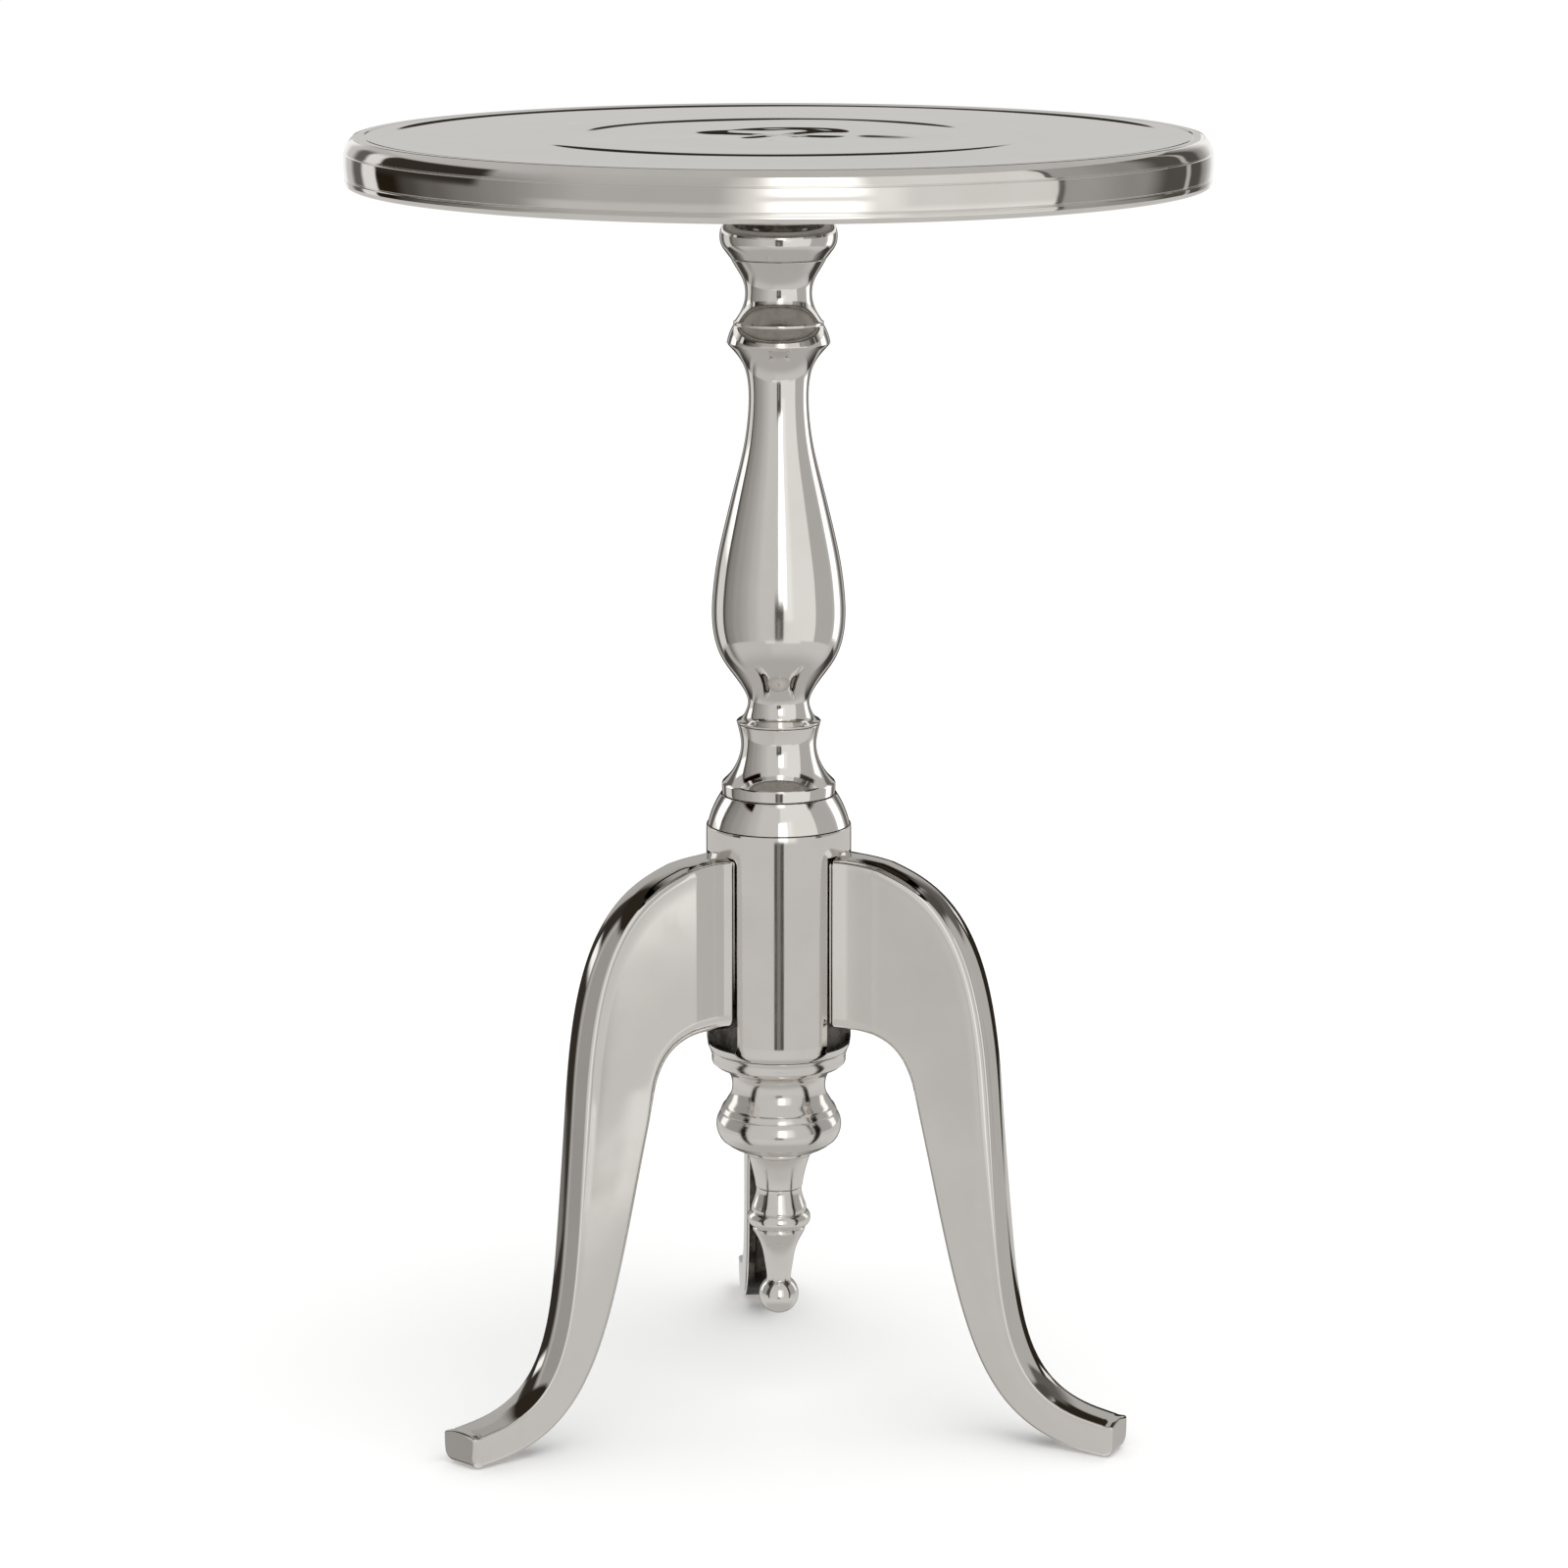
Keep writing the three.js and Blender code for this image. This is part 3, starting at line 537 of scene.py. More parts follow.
def make_finial():
    ball_radius, ball_centre = 9.5, 52.9
    ball = [(ball_radius * math.sin(a), ball_centre - ball_radius * math.cos(a))
            for a in np.linspace(0, 0.79 * math.pi, 24)]
    stem = smooth([(5.75, 61.2), (6.0, 64), (6.6, 68), (7.6, 73.8), (9.4, 79.5), (11.2, 83), (12.2, 84.8)], 0.6)
    ledge = [(12.6, 85.6), (12.5, 86.8), (12.1, 87.3), (12.9, 87.7)]
    bead = smooth([(13.5, 88.0), (14.7, 89.4), (15.2, 91.4), (14.7, 93.6), (13.6, 95.0)], 0.4)
    vase = smooth([(13.3, 95.6), (13.1, 97.3), (12.2, 100), (11.3, 103), (10.9, 105.2), (11, FINIAL_SEAM)], 0.6)
    outline = [*ball, *stem, *ledge, *bead, (13.0, 95.2), *vase, (4.3, FINIAL_SEAM), (4.3, 83.7), (0, 81.7)]
    return finish_piece(turned("finial_tip", outline, [FINIAL_METAL]), "polished_column", "finial")


def make_hub():
    outline = [(HUB_RADIUS - 1.4, HUB_BOTTOM), (HUB_RADIUS - 0.5, HUB_BOTTOM + 2), (HUB_RADIUS, HUB_BOTTOM + 6),
               (HUB_RADIUS, HUB_TOP - 5), (HUB_RADIUS - 0.03, HUB_TOP - 2.4), (HUB_RADIUS - 0.15, HUB_TOP),
               (HUB_BORE, HUB_TOP), (HUB_BORE, HUB_BOTTOM)]
    hub = turned("hub_body", outline, [COLUMN_METAL, RAW_CASTING_AND_SHADE], LATHE_SIDES, 0.3)
    half = ROOT_HALF_WIDTH + CLEARANCE
    bottom = [(half * s, SLOT_BOTTOM) for s in (-1, 1)]
    flat = eased([(-half, SLOT_TOP), *bottom, (half, SLOT_TOP)], SLOT_CORNER, steps=6)
    for angle in LEG_ANGLES.values():
        turn = Matrix.Rotation(math.radians(angle), 4, "Z")
        verts = [turn @ Vector((x, q[0], q[1])) for x in (SLOT_FLOOR, HUB_RADIUS + 5) for q in flat]
        count = len(flat)
        sides = [(k, (k + 1) % count, (k + 1) % count + count, k + count) for k in range(count)]
        ends = [tuple(range(count))[::-1], tuple(range(count, 2 * count))]
        cutter = mesh("cutter", verts, sides + ends, [])
        outwards(cutter)
        cut = hub.modifiers.new("slot", "BOOLEAN")
        cut.operation = "DIFFERENCE"
        cut.solver = "EXACT"
        cut.object = cutter
        apply_modifiers(hub)
        bpy.data.objects.remove(cutter)
    # Faces in the slots get the raw casting, whose dark colour is partly painted shade for the gap round each leg
    # root.
    edge = (HUB_RADIUS - 0.3) * MM
    for face in hub.data.polygons:
        reach = math.hypot(face.center.x, face.center.y)
        in_slot = reach < edge and SLOT_BOTTOM * MM < face.center.z < SLOT_TOP * MM and reach > (HUB_BORE + 2) * MM
        face.material_index = 1 if in_slot else 0
    hub.data.set_sharp_from_angle(angle=math.radians(35))
    return finish_piece(hub, "polished_column", "hub")


def apply_modifiers(piece):
    """Puts the result of the piece's modifiers in its mesh."""
    graph = bpy.context.evaluated_depsgraph_get()
    result = bpy.data.meshes.new_from_object(piece.evaluated_get(graph))
    piece.modifiers.clear()
    old = piece.data
    piece.data = result
    bpy.data.meshes.remove(old)


# ------------------------------------------------------------------ legs

def by_length(points, count):
    """The same line with its points evenly spaced."""
    p = np.array(points, float)
    t = np.concatenate([[0], np.cumsum(np.linalg.norm(np.diff(p, axis=0), axis=1))])
    u = np.linspace(0, t[-1], count)
    return np.column_stack([np.interp(u, t, p[:, k]) for k in range(p.shape[1])])


ROOT_TOP = 273.4
ROOT_UNDER = 191.4
ROOT_FLARE = 7.4
ROOT_SLANT, ROOT_SLANT_LENGTH = 0.052, 19.2     # a slighter widening before the flare
ROOT_GAP = 0.5                   # how far the root is drawn in where it sinks into the hub
KNEE_OUT, KNEE_IN = (114.2, 160), (75.4, 164.5)
ROOT_STATIONS = np.concatenate([[SLOT_FLOOR + CLEARANCE], np.arange(32, 38, 0.4), np.arange(38, 55, 0.9)])
ARCH_STEPS, SHIN_STEPS = 56, 90
CHANNEL_HEIGHTS = (26, 36, 166, 176)            # where the channel starts, is open, still is, and has ended
ROUGH_SHADED_HEIGHTS = (13, 177)                       # the inner side is left rough between these, and near black as painted shade for the channel
CHANNEL_POINTS = 7                              # points of a half section that lie in the channel


def leg_lines():
    """Matching points down the outer and the inner side of the leg, as (reach, height). The root's are upright
    pairs, and the rest are evenly spaced down to the foot."""
    start = SLOT_FLOOR + CLEARANCE
    shoulder = bezier((HUB_RADIUS, ROOT_TOP), (94.5, 273.6), (109.5, 234), KNEE_OUT, 300)
    shin = bezier(KNEE_OUT, (122.7, 51.5), (119.5, 16.8), (FOOT_REACH, FOOT_HEIGHT), 300)
    arch = bezier((start, ROOT_UNDER), (52.2, ROOT_UNDER), (68.5, 192.2), KNEE_IN, 300)
    calf = bezier(KNEE_IN, (101.3, 58.9), (102.6, 7), (166.5, 0), 300)
    top = np.array([(start, ROOT_TOP), *shoulder])
    root_outer = np.column_stack([ROOT_STATIONS, np.interp(ROOT_STATIONS, top[:, 0], top[:, 1])])
    root_inner = np.column_stack([ROOT_STATIONS, np.interp(ROOT_STATIONS, arch[:, 0], arch[:, 1])])
    left = ROOT_STATIONS[-1]
    foot = FOOT_REACH - FOOT_CORNER - 1
    shin = shin[shin[:, 0] < foot]
    outer = np.vstack([by_length([root_outer[-1], *top[top[:, 0] > left]], ARCH_STEPS)[1:],
                       by_length(shin, SHIN_STEPS)[1:]])
    inner = np.vstack([by_length([root_inner[-1], *arch[arch[:, 0] > left]], ARCH_STEPS)[1:],
                       by_length([*calf, (shin[-1, 0], 0)], SHIN_STEPS)[1:]])
    return np.vstack([root_outer, without_kinks(outer)]), np.vstack([root_inner, without_kinks(inner)])


def without_kinks(line, rounds=30):
    """Evens out the bends where two curves meet, and keeps both ends."""
    p = line.copy()
    for _ in range(rounds):
        p[1:-1] += 0.25 * (p[:-2] - 2 * p[1:-1] + p[2:])
    return p


# Rounding along the inner edges: down the leg, and under the arch.
LIPS = {"rear": (1.2, 1.2), "left": (3.0, 5.8), "right": (2.4, 3.0)}
CROWN = 1.3                      # how far the outer face swells in the middle
TIP = 1.2                        # rounding round the foot's end face

# Rounding between the leg's side and its outer face where it is largest, below the shoulder.
CREASE_PEAK = {"rear": 2.0, "left": 1.9, "right": 3.6}

# How far each foot's end is ground back on its own left and right side, looking out along the leg.
FOOT_GRIND = {"rear": (0.5, 0.5), "left": (6.3, 0.5), "right": (3.4, 2.6)}


def leg_section(depth, hollow, inset, crease, lip):
    """Half of the leg's section, from the middle of its outer face to the middle of the channel's floor. Each
    point is (how far from the inner edge, share of the half width, offset across)."""
    points = []
    for s in np.linspace(0, 1, 7)[:-1]:
        points.append((depth + CROWN * (1 - s * s) - inset, s, -s * (crease + inset)))
    for a in np.linspace(0, math.pi / 2, 6):
        points.append((depth - crease * (1 - math.cos(a)) - inset, 1, -crease * (1 - math.sin(a)) - inset))
    low, high = lip + inset, depth - crease - inset
    for s in (0.03, 0.15, 0.3, 0.5, 0.7, 0.85, 0.97):
        bulge = 0.52 * s * (1 - s)
        points.append((high + (low - high) * s, 1, bulge - SIDE_DRAW - inset + 0.25 * (1 - s)))
    for a in np.linspace(0, math.pi / 2, 7):
        points.append((lip * (1 - math.sin(a)) + inset, 1, -lip * (1 - math.cos(a)) - SIDE_DRAW - inset))
    wall = -max(LEG_WALL, lip + 0.4) - SIDE_DRAW
    bottom = inset + hollow
    points.append((inset + min(0.4, hollow * 0.2), 1, wall))
    points.append((inset + hollow * 0.5, 1, wall - 0.2))
    points.append((bottom - min(1.5, hollow * 0.2), 1, wall - 0.4))
    points.append((bottom, 1, wall - 2.0))
    points.append((bottom, 0.25, 0))
    points.append((bottom, 0, 0))
    return points


def soft_step(x, low, high):
    """0 at low, 1 at high, and smooth between them. High may be the smaller."""
    t = np.clip((x - low) / (high - low), 0, 1)
    return t * t * (3 - 2 * t)


def leg_stations():
    """(outer point, inner point, how far the section is drawn in) from the root to the foot's end face."""
    outer, inner = leg_lines()
    stations = [(o, q, 0.0) for o, q in zip(outer, inner)]
    above = outer[outer[:, 0] > FOOT_REACH - 30]
    for a in [*np.linspace(0, 1.15, 6), *np.linspace(1.25, math.pi / 2, 6)]:
        reach = FOOT_REACH - FOOT_CORNER * (1 - math.sin(a))
        to_end = FOOT_REACH - reach
        inset = TIP - math.sqrt(TIP**2 - max(0.0, TIP - to_end) ** 2)
        top = np.interp(reach, above[:, 0], above[:, 1]) if reach < above[-1, 0] else FOOT_HEIGHT
        stations.append((np.array([reach, top]), np.array([reach, FOOT_CORNER * (1 - math.cos(a))]), inset))
    return stations


def make_leg(side):
    """One leg, lofted through its sections along +X and then turned to its place round the hub."""
    rings, heights = [], []
    starts, opened, closes, closed = CHANNEL_HEIGHTS
    for o, q, inset in leg_stations():
        depth = np.linalg.norm(o - q)
        across = (o - q) / depth
        height = (o[1] + q[1]) / 2
        heights.append(height)
        open_share = soft_step(height, starts, opened) * (1 - soft_step(height, closes, closed))
        hollow = max(0.02, (depth - LEG_WALL - 1) * open_share)
        crease = 1.0 + (CREASE_PEAK[side] - 1) * soft_step(height, 80, 165) * soft_step(height, 262, 225)
        shin_lip, arch_lip = LIPS[side]
        lip = shin_lip + (arch_lip - shin_lip) * soft_step(q[1], 150, 186)
        ring = []
        for t, share, offset in leg_section(depth, hollow, inset, crease, lip):
            reach = q[0] + across[0] * t
            out = max(0, reach - HUB_RADIUS)
            slant = ROOT_SLANT * max(0, ROOT_SLANT_LENGTH - out)
            steep = ROOT_HALF_WIDTH - LEG_HALF_WIDTH - ROOT_SLANT * ROOT_SLANT_LENGTH
            flare = slant + steep * max(0, 1 - out / ROOT_FLARE) ** 2
            flare -= ROOT_GAP * soft_step(HUB_RADIUS - reach, -0.2, 1.2) + 0.3 * soft_step(reach, 58, 43)
            half = LEG_HALF_WIDTH + flare - 0.6 * soft_step(height, 120, 20)
            aside = max(0.0, half * share + offset) if share else 0.0
            near_end = soft_step(reach, FOOT_REACH - 16, FOOT_REACH)
            ring.append((reach, aside, q[1] + across[1] * t, near_end / LEG_HALF_WIDTH))
        rings.append(ring)
    half_count = len(rings[0])
    turn = Matrix.Rotation(math.radians(LEG_ANGLES[side]), 4, "Z")
    ground_left, ground_right = FOOT_GRIND[side]
    middle, slope = (ground_left + ground_right) / 2, (ground_left - ground_right) / 2
    verts, faces, slots = [], [], []
    for ring in rings:
        loop = ring + [(x, -y, z, g) for x, y, z, g in ring[-2:0:-1]]
        verts += [turn @ Vector((x - g * (middle * LEG_HALF_WIDTH + slope * y), y, z)) for x, y, z, g in loop]
    size = 2 * half_count - 2
    channel_from = half_count - CHANNEL_POINTS
    rough_shaded_low, rough_shaded_high = ROUGH_SHADED_HEIGHTS
    for i in range(len(rings) - 1):
        for k in range(size):
            l = (k + 1) % size
            faces.append((i * size + k, i * size + l, (i + 1) * size + l, (i + 1) * size + k))
            in_channel = channel_from <= k < size - channel_from
            # Channel faces get the near-black casting: raw metal, with painted shade for the hollow.
            slots.append(1 if in_channel and rough_shaded_low < heights[i] < rough_shaded_high else 0)
    faces.append(tuple(range(size))[::-1])
    faces.append(tuple(range((len(rings) - 1) * size, len(rings) * size)))
    slots += [1, 0]
    piece = mesh(f"leg_{side}_casting", verts, faces, [LEG_METAL, CHANNEL_CASTING_AND_SHADE], slots)
    outwards(piece)
    for face in list(piece.data.polygons)[-2:]:
        face.use_smooth = False
    return finish_piece(piece, "polished_leg", f"leg_{side}")


# ------------------------------------------------------------------ studio

CAMERA_TURN = 3.55               # degrees that the camera stands to the left of the table's front
CAMERA_TILT = 11.988
CAMERA_PLACE = (-0.1394, -2.2875, 0.7911)       # metres
CAMERA_LENS = 113.69
WORLD_STRENGTH = 1.12
FLOOR_HALF = 40.0
LAMP_PLACE = Vector((0.5, -0.6, 2.6))
LAMP_AIM = Vector((0, 0, 0.3))


def make_camera():
    data = bpy.data.cameras.new("camera")
    data.sensor_width = 36
    data.lens = CAMERA_LENS
    data.clip_end = 200
    camera = bpy.data.objects.new("camera", data)
    camera.location = CAMERA_PLACE
    camera.rotation_euler = (math.radians(90 - CAMERA_TILT), 0, math.radians(-CAMERA_TURN))
    bpy.context.scene.collection.objects.link(camera)
    bpy.context.scene.camera = camera


# What the metal mirrors: a soft grey photographer's tent with white softboxes and dark gaps. The real tent stood
# close to the table, so the tray, the column, the hub and the legs saw it from different places. Here each of them
# has a far tent of its own, which only it mirrors. A tent is a grey with patches laid over it in order: (azimuth
# round from the camera's side, elevation) in degrees, the softness of the sides and of the ends, and a brightness.
ALL = (-120, 120)                # every elevation
COLUMN_GREY = 0.62
COLUMN_VIEW = [
    # Round to the left, darker and darker, and the light right-hand wall with its sharp end.
    ((-200, -38), ALL, 18, 1, 0.52),
    ((-200, -54), ALL, 16, 1, 0.43),
    ((-200, -68), ALL, 16, 1, 0.36),
    ((-200, -86), ALL, 14, 1, 0.28),
    ((-200, -99), ALL, 8, 1, 0.22),
    ((-200, -110), ALL, 8, 1, 0.48),
    ((3, 200), ALL, 4, 1, 0.82),
    ((67, 200), ALL, 2, 1, 0.46),
    ((107, 200), ALL, 3, 1, 0.52),
    # The light floor and its edge, with dark corners.
    ((-96, -10), (-60, -25.5), 20, 1.0, 0.57),
    ((-12, 114), (-60, -25.5), 16, 1.0, 0.62),
    ((-24, 40), (-28, -25.5), 8, 0.8, 0.84),
    ((-152, -124), (-60, -24), 6, 3, 0.05),
    ((124, 152), (-60, -24), 6, 3, 0.05),
    # Two tall softboxes at the back on the left and right, each with dark edges.
    ((113, 132), (-20, 25), 4, 5, 1.5),
    ((139, 152), (-24, 60), 3, 2, 0.15),
    ((-132, -112), (-20, 25), 2, 5, 1.5),
    ((-134, -112), (-24, 3), 2, 5, 0.72),
    ((-150, -136), (-24, 60), 3, 2, 0.12),
    ((-112, -105), (-24, 60), 2, 2, 0.10),
    # Dark corners high at the sides, and darkness at the back.
    ((-110, -56), (37, 62), 4, 3, 0.0),
    ((66, 112), (37, 60), 8, 4, 0.03),
    ((-200, -161), ALL, 4, 1, 0.04),
    ((161, 200), ALL, 4, 1, 0.05),
    # The lamp beside the camera, and the gap that the camera looks through.
    ((11, 24), (-9, 32), 10, 3, 0.95),
    ((0, 14), (-1, 30), 2, 5, 2.2),
    ((-6.5, 8.5), (-25.5, 1), 2.5, 8, 0.10),
    ((-2.4, 2.8), (-25.5, -8), 1.4, 2, 0.24),
    ((-200, 200), (-120, -44), 0, 24, 0.46),
    ((-200, 200), (62, 120), 0, 8, 0.45),
]
HUB_GREY = 0.60
HUB_VIEW = [
    ((-200, -72), (-6, 120), 8, 1, 0.34),
    ((-77, -62), (-6, 120), 5, 1, 0.05),
    ((66, 200), (-6, 120), 6, 1, 0.40),
    ((61, 71), (-6, 120), 4, 1, 0.12),
    ((-200, 200), (-120, -18), 0, 3, 0.64),
    ((-135, -116), (-4, 30), 4, 4, 1.2),
    ((116, 132), (-4, 30), 4, 4, 1.2),
    ((-112, -58), (37, 62), 8, 6, 0.02),
    ((60, 112), (37, 62), 8, 6, 0.05),
    ((-200, -158), ALL, 8, 1, 0.12),
    ((158, 200), ALL, 8, 1, 0.14),
    ((10, 28), (-9, 32), 12, 4, 0.90),
    ((0, 14), (-8, 30), 4, 5, 1.9),
    ((-7, 8.2), (-17.4, -9), 2, 4, 0.09),
    ((-2.4, 2.8), (-17.4, -9), 1.6, 2, 0.22),
    ((-200, 200), (-120, -44), 0, 24, 0.48),
    ((-200, 200), (62, 120), 0, 8, 0.45),
]
LEG_GREY = 0.585
LEG_VIEW = [
    # The front, seen by the roots and the rounded edges, and the left-hand leg's side.
    ((-53, -43), (-16, 40), 3, 1, 0.55),
    ((-44, 16), ALL, 12, 1, 0.70),
    ((-6, 16), ALL, 4, 1, 0.95),
    ((16, 57), ALL, 6, 1, 0.66),
    ((57, 86), ALL, 3, 1, 0.62),
    ((46, 60.5), ALL, 1, 1, 0.50),
    ((60.5, 64.5), (-16.4, 30), 1, 1, 0.50),
    ((64.5, 84), (-14.7, 30), 1, 1.2, 0.70),
    ((64.5, 84), (-13.9, 30), 1, 1.2, 0.88),
    ((86, 98), ALL, 5, 1, 0.43),
    ((-50, 57), (-60, -16.6), 3, 0.4, 0.60),
    ((57, 88), (-60, -16.45), 3, 0.25, 0.76),
    ((66.5, 80), (-60, -16.2), 1.5, 0.2, 0.78),
    ((66.5, 69.5), (-60, -16.0), 1.5, 0.2, 0.81),
    ((57, 88), (-60, -17.3), 3, 1.4, 0.70),
    ((57, 88), (-60, -18.3), 3, 1.2, 0.61),
    # Round the left leg's outer face.
    ((-109, -78), (-60, 34), 6, 2, 0.35),
    ((-200, -112), ALL, 9, 1, 0.24),
    ((-142, -117), (-13.2, 120), 4, 1, 0.03),
    ((-142, -117), (-60, -13.2), 8, 1, 0.20),
    ((-200, -142), ALL, 2, 1, 0.40),
    ((-131, -117), (4, 13), 3, 6, 1.1),
    ((-200, -148), (8, 40), 26, 6, 0.46),
    ((-150, -80), (33, 70), 22, 6, 0.02),
    ((-200, -160), (-60, -15), 6, 3, 0.60),
    # Round the right leg's outer face.
    ((98, 132), (-60, 34), 5, 2, 0.47),
    ((132, 200), (-13.5, 120), 3, 1, 0.02),
    ((141, 152), (6, 15), 2, 3, 0.95),
    ((110, 150), (18, 48), 10, 6, 0.12),
    ((152, 200), (8, 40), 22, 6, 0.46),
    ((80, 130), (35, 66), 22, 6, 0.08),
    ((158, 200), (-60, -15), 6, 3, 0.55),
    # The inner edges, the floor and the ceiling.
    ((80, 200), (-60, -17.2), 6, 1, 0.48),
    ((20, 90), (-120, -30), 20, 8, 0.68),
    ((-200, 200), (-120, -60), 0, 12, 0.75),
    ((-200, 200), (66, 120), 0, 8, 0.50),
]
TRAY_GREY = 0.60
TRAY_VIEW = [
    ((-200, 200), (30, 120), 0, 30, 0.52),
    ((150, 200), (6.5, 10.5), 4, 0.5, 0.02),
    ((-200, -150), (6.5, 10.5), 4, 0.5, 0.02),
]
GREY_TINT = (1.0, 0.992, 0.98)
DARK_TINT = (0.006, 0.0005, -0.005)      # the dark parts of a view are browner
TENT_MIDDLE = 0.3                # metres above the floor

# What the tray's skirt mirrors: a board right round it. Its patches are in directions from the origin, so an
# elevation is a height on the board, and 66.65 degrees is its low top at the back.
BOARD_RADIUS = 262
BOARD_LOW, BOARD_HIGH = 566, 607
BOARD_WINGS = 690                # its top at the front and the sides, for the tray's shoulder
BOARD_BACK = 140                 # behind this, the tray's top would mirror a high board at the camera
BOARD_GREY = 0.46
BOARD_VIEW = [
    ((-200, -36), ALL, 14, 1, 0.36),
    ((-200, -43.5), ALL, 12, 1, 0.27),
    ((-200, -52), ALL, 10, 1, 0.20),
    ((-200, -60), ALL, 8, 1, 0.13),
    ((-200, -68.5), ALL, 8, 1, 0.065),
    ((-200, -75.5), ALL, 6, 1, 0.012),
    ((-200, -53), (66.35, 120), 4, 0.3, 0.03),
    ((-200, -86), ALL, 1.5, 1, 0.80),
    ((-200, -94.5), ALL, 3, 1, 0.12),
    ((-200, -103), ALL, 6, 1, 0.58),
    ((-200, -112), ALL, 8, 1, 0.95),
    ((-40, -3), (-120, 65.8), 10, 0.3, 0.57),
    ((-6, 22), ALL, 8, 1, 0.90),
    ((20, 200), ALL, 8, 1, 0.72),
    ((16, 50), (-120, 65.6), 6, 0.3, 0.86),
    ((-200, 200), (68.2, 120), 0, 1, 0.50),
    ((-86, -53), (66.35, 68.6), 4, 0.4, 0.03),
    ((-6, 48), (67.4, 120), 8, 0.5, 0.76),
    ((-1.5, 13), (-120, 66.0), 6, 0.3, 1.7),
    ((-1.5, 13), (66.35, 120), 6, 0.3, 1.7),
    ((48.2, 200), ALL, 1.5, 1, 0.36),
    ((47.6, 49), ALL, 0.6, 1, 0.12),
    ((60, 200), ALL, 14, 1, 0.28),
    ((75, 200), ALL, 10, 1, 0.08),
    ((89, 91.5), ALL, 1.5, 1, 0.45),
    ((100, 200), ALL, 5, 1, 0.30),
    ((106, 200), ALL, 8, 1, 0.60),
    ((112, 200), ALL, 8, 1, 0.95),
]


def brightness(n, azimuth, elevation, base, patches):
    """The value of the patches at a direction, as a chain of nodes."""
    value = base
    for (left, right), (low, high), side_soft, end_soft, level in patches:
        inside = 1.0
        edges = []
        if side_soft:
            edges += [(azimuth, left, side_soft, 0, 1), (azimuth, right, side_soft, 1, 0)]
        if low > ALL[0]:
            edges.append((elevation, low, end_soft, 0, 1))
        if high < ALL[1]:
            edges.append((elevation, high, end_soft, 1, 0))
        for angle, edge, soft, before, after in edges:
            step = n.spread(angle, edge - soft / 2, edge + soft / 2, before, after)
            inside = n.maths("MULTIPLY", inside, step) if isinstance(inside, bpy.types.NodeSocket) else step
        value = n.maths("MULTIPLY_ADD", n.maths("SUBTRACT", level, value), inside, value)
    return value


def make_world():
    """A white studio for the eye and the floor. Mirrored rays see only the tents and the board."""
    world = bpy.data.worlds.new("studio")
    bpy.context.scene.world = world
    world.use_nodes = True
    world.cycles.sampling_method = "NONE"
    n = Nodes("world", world.node_tree)
    n.tree.nodes.clear()
    ray = n.add("ShaderNodeLightPath")
    strength = n.spread(ray.outputs["Is Glossy Ray"], 0, 1, WORLD_STRENGTH, 0)
    white = n.add("ShaderNodeBackground", {"Color": (1, 1, 1, 1), "Strength": strength}).outputs[0]
    n.add("ShaderNodeOutputWorld", {"Surface": white})


def reflector(name, verts, faces, base, patches, seen_by, clear=True):
    """A glowing surface round the table that only mirrored rays from some pieces see. Light passes through it from
    behind if it is clear."""
    data = bpy.data.meshes.new(name)
    data.from_pydata(verts, [], faces)
    n = Nodes(name)
    n.tree.nodes.remove(n.shader)
    place = n.add("ShaderNodeVectorRotate", {"Vector": n.place(), "Angle": math.radians(CAMERA_TURN)},
                  rotation_type="Z_AXIS").outputs[0]
    direction = n.add("ShaderNodeVectorMath", {0: place}, operation="NORMALIZE").outputs[0]
    x, y, z = n.add("ShaderNodeSeparateXYZ", {0: direction}).outputs
    azimuth = n.maths("MULTIPLY", n.maths("ARCTAN2", x, n.maths("MULTIPLY", y, -1.0)), 180 / math.pi)
    elevation = n.maths("MULTIPLY", n.maths("ARCSINE", z), 180 / math.pi)
    value = brightness(n, azimuth, elevation, base, patches)
    warm = n.add("ShaderNodeCombineColor", {
        channel: n.maths("MAXIMUM", n.maths("MULTIPLY_ADD", value, tint, lift), 0.0)
        for channel, tint, lift in zip(("Red", "Green", "Blue"), GREY_TINT, DARK_TINT)}).outputs[0]
    glow = n.add("ShaderNodeEmission", {"Color": warm, "Strength": 1.0}).outputs[0]
    if clear:
        through = n.add("ShaderNodeBsdfTransparent").outputs[0]
        glow = n.add("ShaderNodeAddShader", {0: glow, 1: through}).outputs[0]
    n.put(n.tree.nodes["Material Output"].inputs["Surface"], glow)
    n.material.cycles.emission_sampling = "NONE"
    data.materials.append(n.material)
    piece = bpy.data.objects.new(name, data)
    for kind in ("camera", "diffuse", "transmission", "volume_scatter", "shadow"):
        setattr(piece, f"visible_{kind}", False)
    bpy.context.scene.collection.objects.link(piece)
    receivers = bpy.data.collections.new(f"{name}_pieces")
    for other in seen_by:
        receivers.objects.link(other)
    piece.light_linking.receiver_collection = receivers
    return piece


def make_tent(name, radius, base, patches, seen_by):
    """A sphere. Each tent needs its own radius, because two in the same place hide each other."""
    sides, rows = 48, 24
    turns = np.linspace(0, 2 * math.pi, sides, endpoint=False)
    verts = [(radius * math.sin(b) * math.cos(a), radius * math.sin(b) * math.sin(a), radius * math.cos(b))
             for b in np.linspace(0.001, math.pi - 0.001, rows) for a in turns]
    faces = [(i * sides + k, i * sides + (k + 1) % sides, (i + 1) * sides + (k + 1) % sides, (i + 1) * sides + k)
             for i in range(rows - 1) for k in range(sides)]
    reflector(f"tent_{name}", verts, faces, base, patches, seen_by).location.z = TENT_MIDDLE


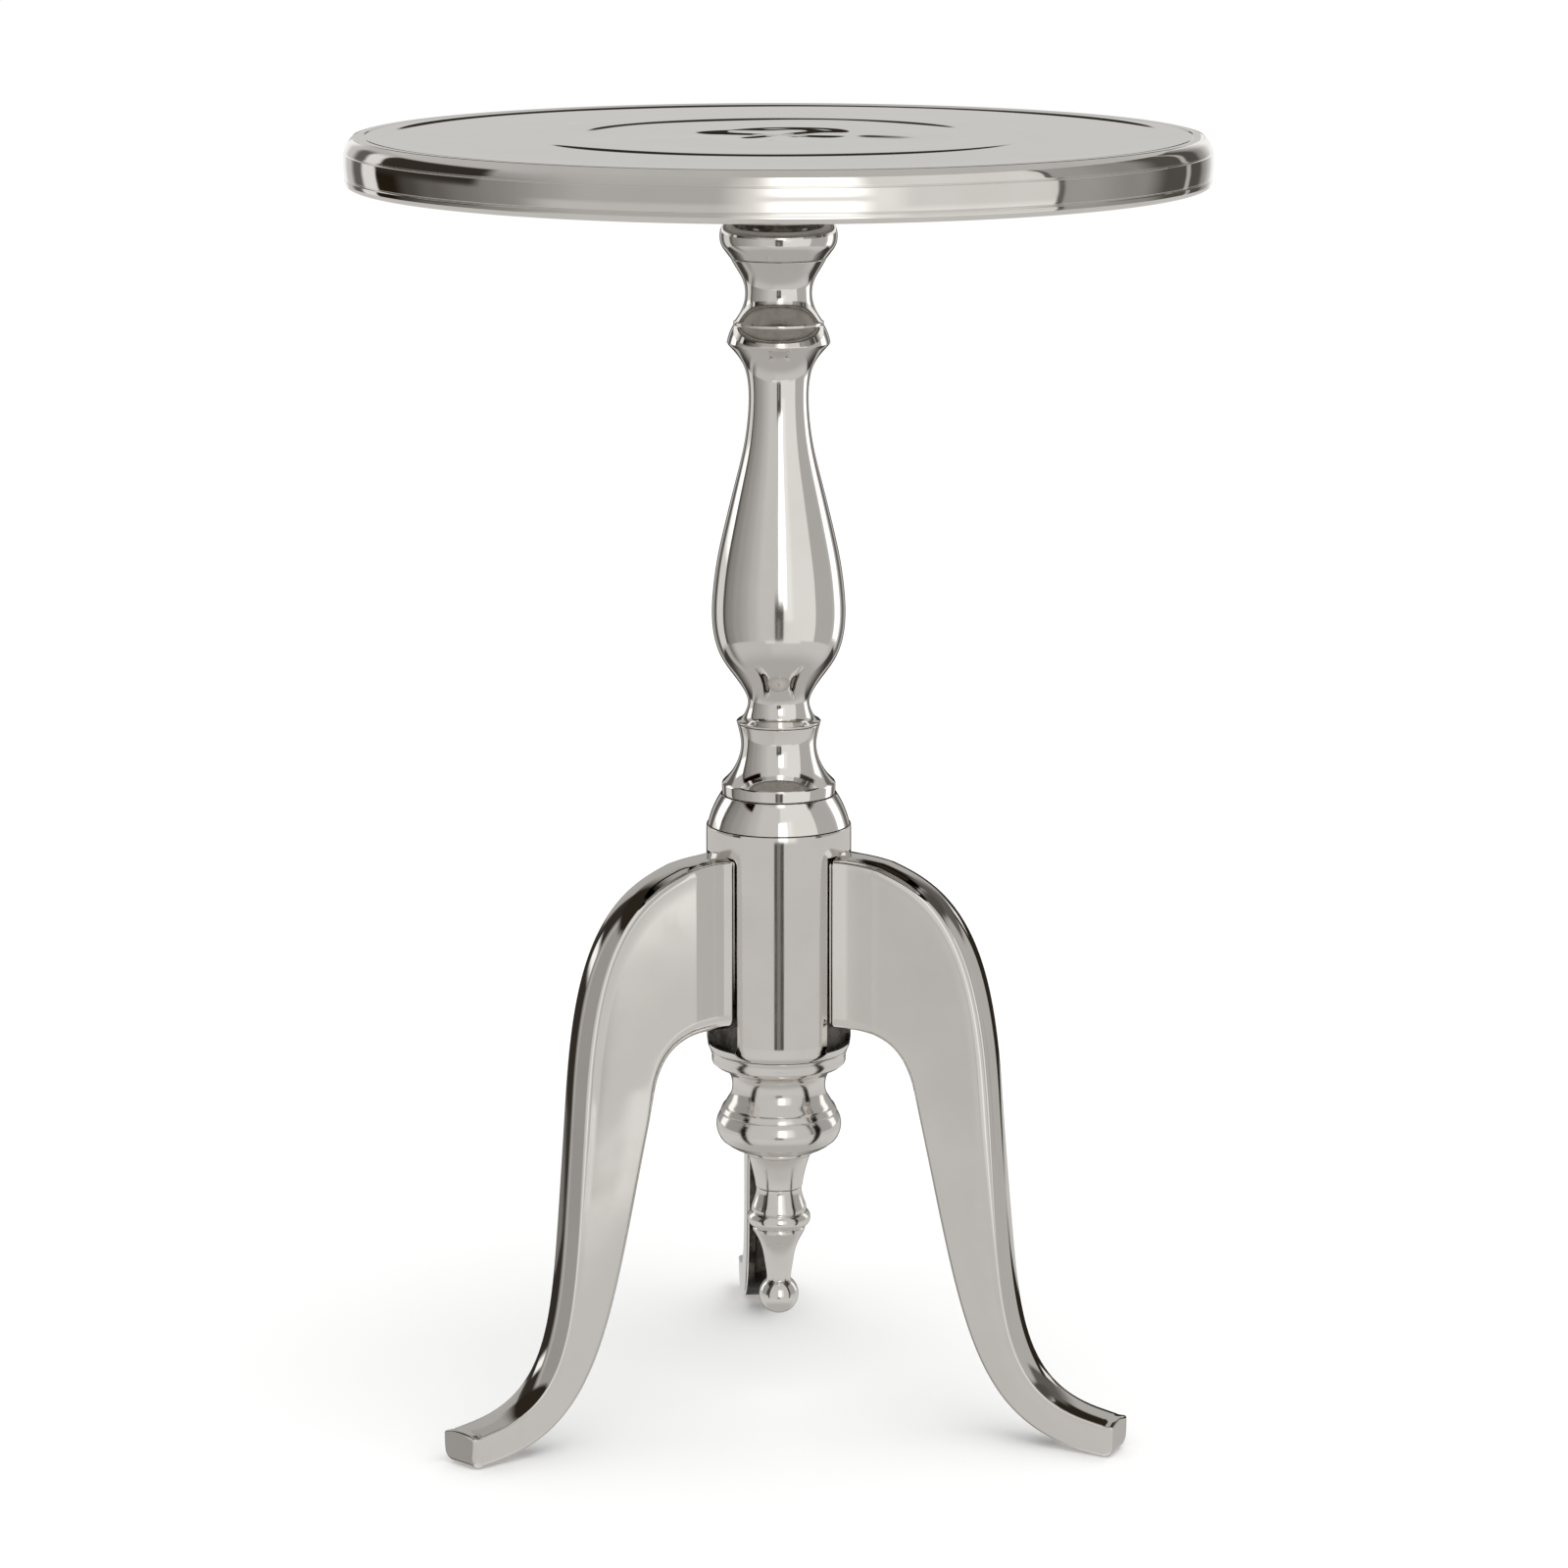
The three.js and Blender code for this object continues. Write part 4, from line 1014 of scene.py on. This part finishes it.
def make_board(seen_by):
    sides = 180
    turns = np.linspace(0, 2 * math.pi, sides, endpoint=False)
    low = [(BOARD_RADIUS * MM * math.cos(a), BOARD_RADIUS * MM * math.sin(a), BOARD_LOW * MM) for a in turns]
    high = [(x, y, (BOARD_WINGS if y < BOARD_BACK * MM else BOARD_HIGH) * MM) for x, y, _ in low]
    faces = [(k, (k + 1) % sides, (k + 1) % sides + sides, k + sides) for k in range(sides)]
    reflector("rim_board", low + high, faces, BOARD_GREY, BOARD_VIEW, seen_by, clear=False)


def make_floor():
    corners = [(x * FLOOR_HALF, y * FLOOR_HALF, 0) for x, y in ((-1, -1), (1, -1), (1, 1), (-1, 1))]
    data = bpy.data.meshes.new("floor")
    data.from_pydata(corners, [], [(0, 1, 2, 3)])
    n = Nodes("pale_floor")
    tone = n.noise(n.place(), 0.6, 2)
    n.put(n.shader.inputs["Base Color"], n.mix(tone, (0.9, 0.9, 0.895, 1), (0.93, 0.93, 0.93, 1)))
    n.shader.inputs["Roughness"].default_value = 1
    n.shader.inputs["Specular IOR Level"].default_value = 0
    data.materials.append(n.material)
    floor = bpy.data.objects.new("floor", data)
    floor.location.z = -0.0002
    floor.visible_glossy = False
    bpy.context.scene.collection.objects.link(floor)


def make_softbox():
    """One large overhead lamp. It shades the floor, and the metal doesn't mirror it."""
    data = bpy.data.lights.new("overhead", "AREA")
    data.shape = "DISK"
    data.size = 2.4
    data.energy = 18
    lamp = bpy.data.objects.new("overhead", data)
    lamp.location = LAMP_PLACE
    lamp.rotation_euler = (LAMP_PLACE - LAMP_AIM).to_track_quat("Z", "Y").to_euler()
    lamp.visible_glossy = False
    lamp.visible_camera = False
    bpy.context.scene.collection.objects.link(lamp)


# ------------------------------------------------------------------ assembly

bpy.context.scene.view_settings.view_transform = "Standard"
make_camera()
make_world()
make_floor()
make_softbox()

tray = make_tray()
column = [make_capital(), make_baluster(), make_collar(), make_dome()]
hub = [make_hub(), make_boss(), make_finial()]
legs = [make_leg(side) for side in LEG_ANGLES]
fixings = [make_flange()] + [make_flange_screw(number) for number in range(1, 5)]
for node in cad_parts.values():
    if not node.hide_render:
        fixings.append(node)
        for holder in node.material_slots:
            holder.material = ZINC

make_board([tray, *column, *hub, *fixings])
make_tent("of_tray", 60.0, TRAY_GREY, TRAY_VIEW, [tray, *fixings])
make_tent("of_column", 65.0, COLUMN_GREY, COLUMN_VIEW, column)
make_tent("of_hub", 70.0, HUB_GREY, HUB_VIEW, hub)
make_tent("of_legs", 75.0, LEG_GREY, LEG_VIEW, legs)
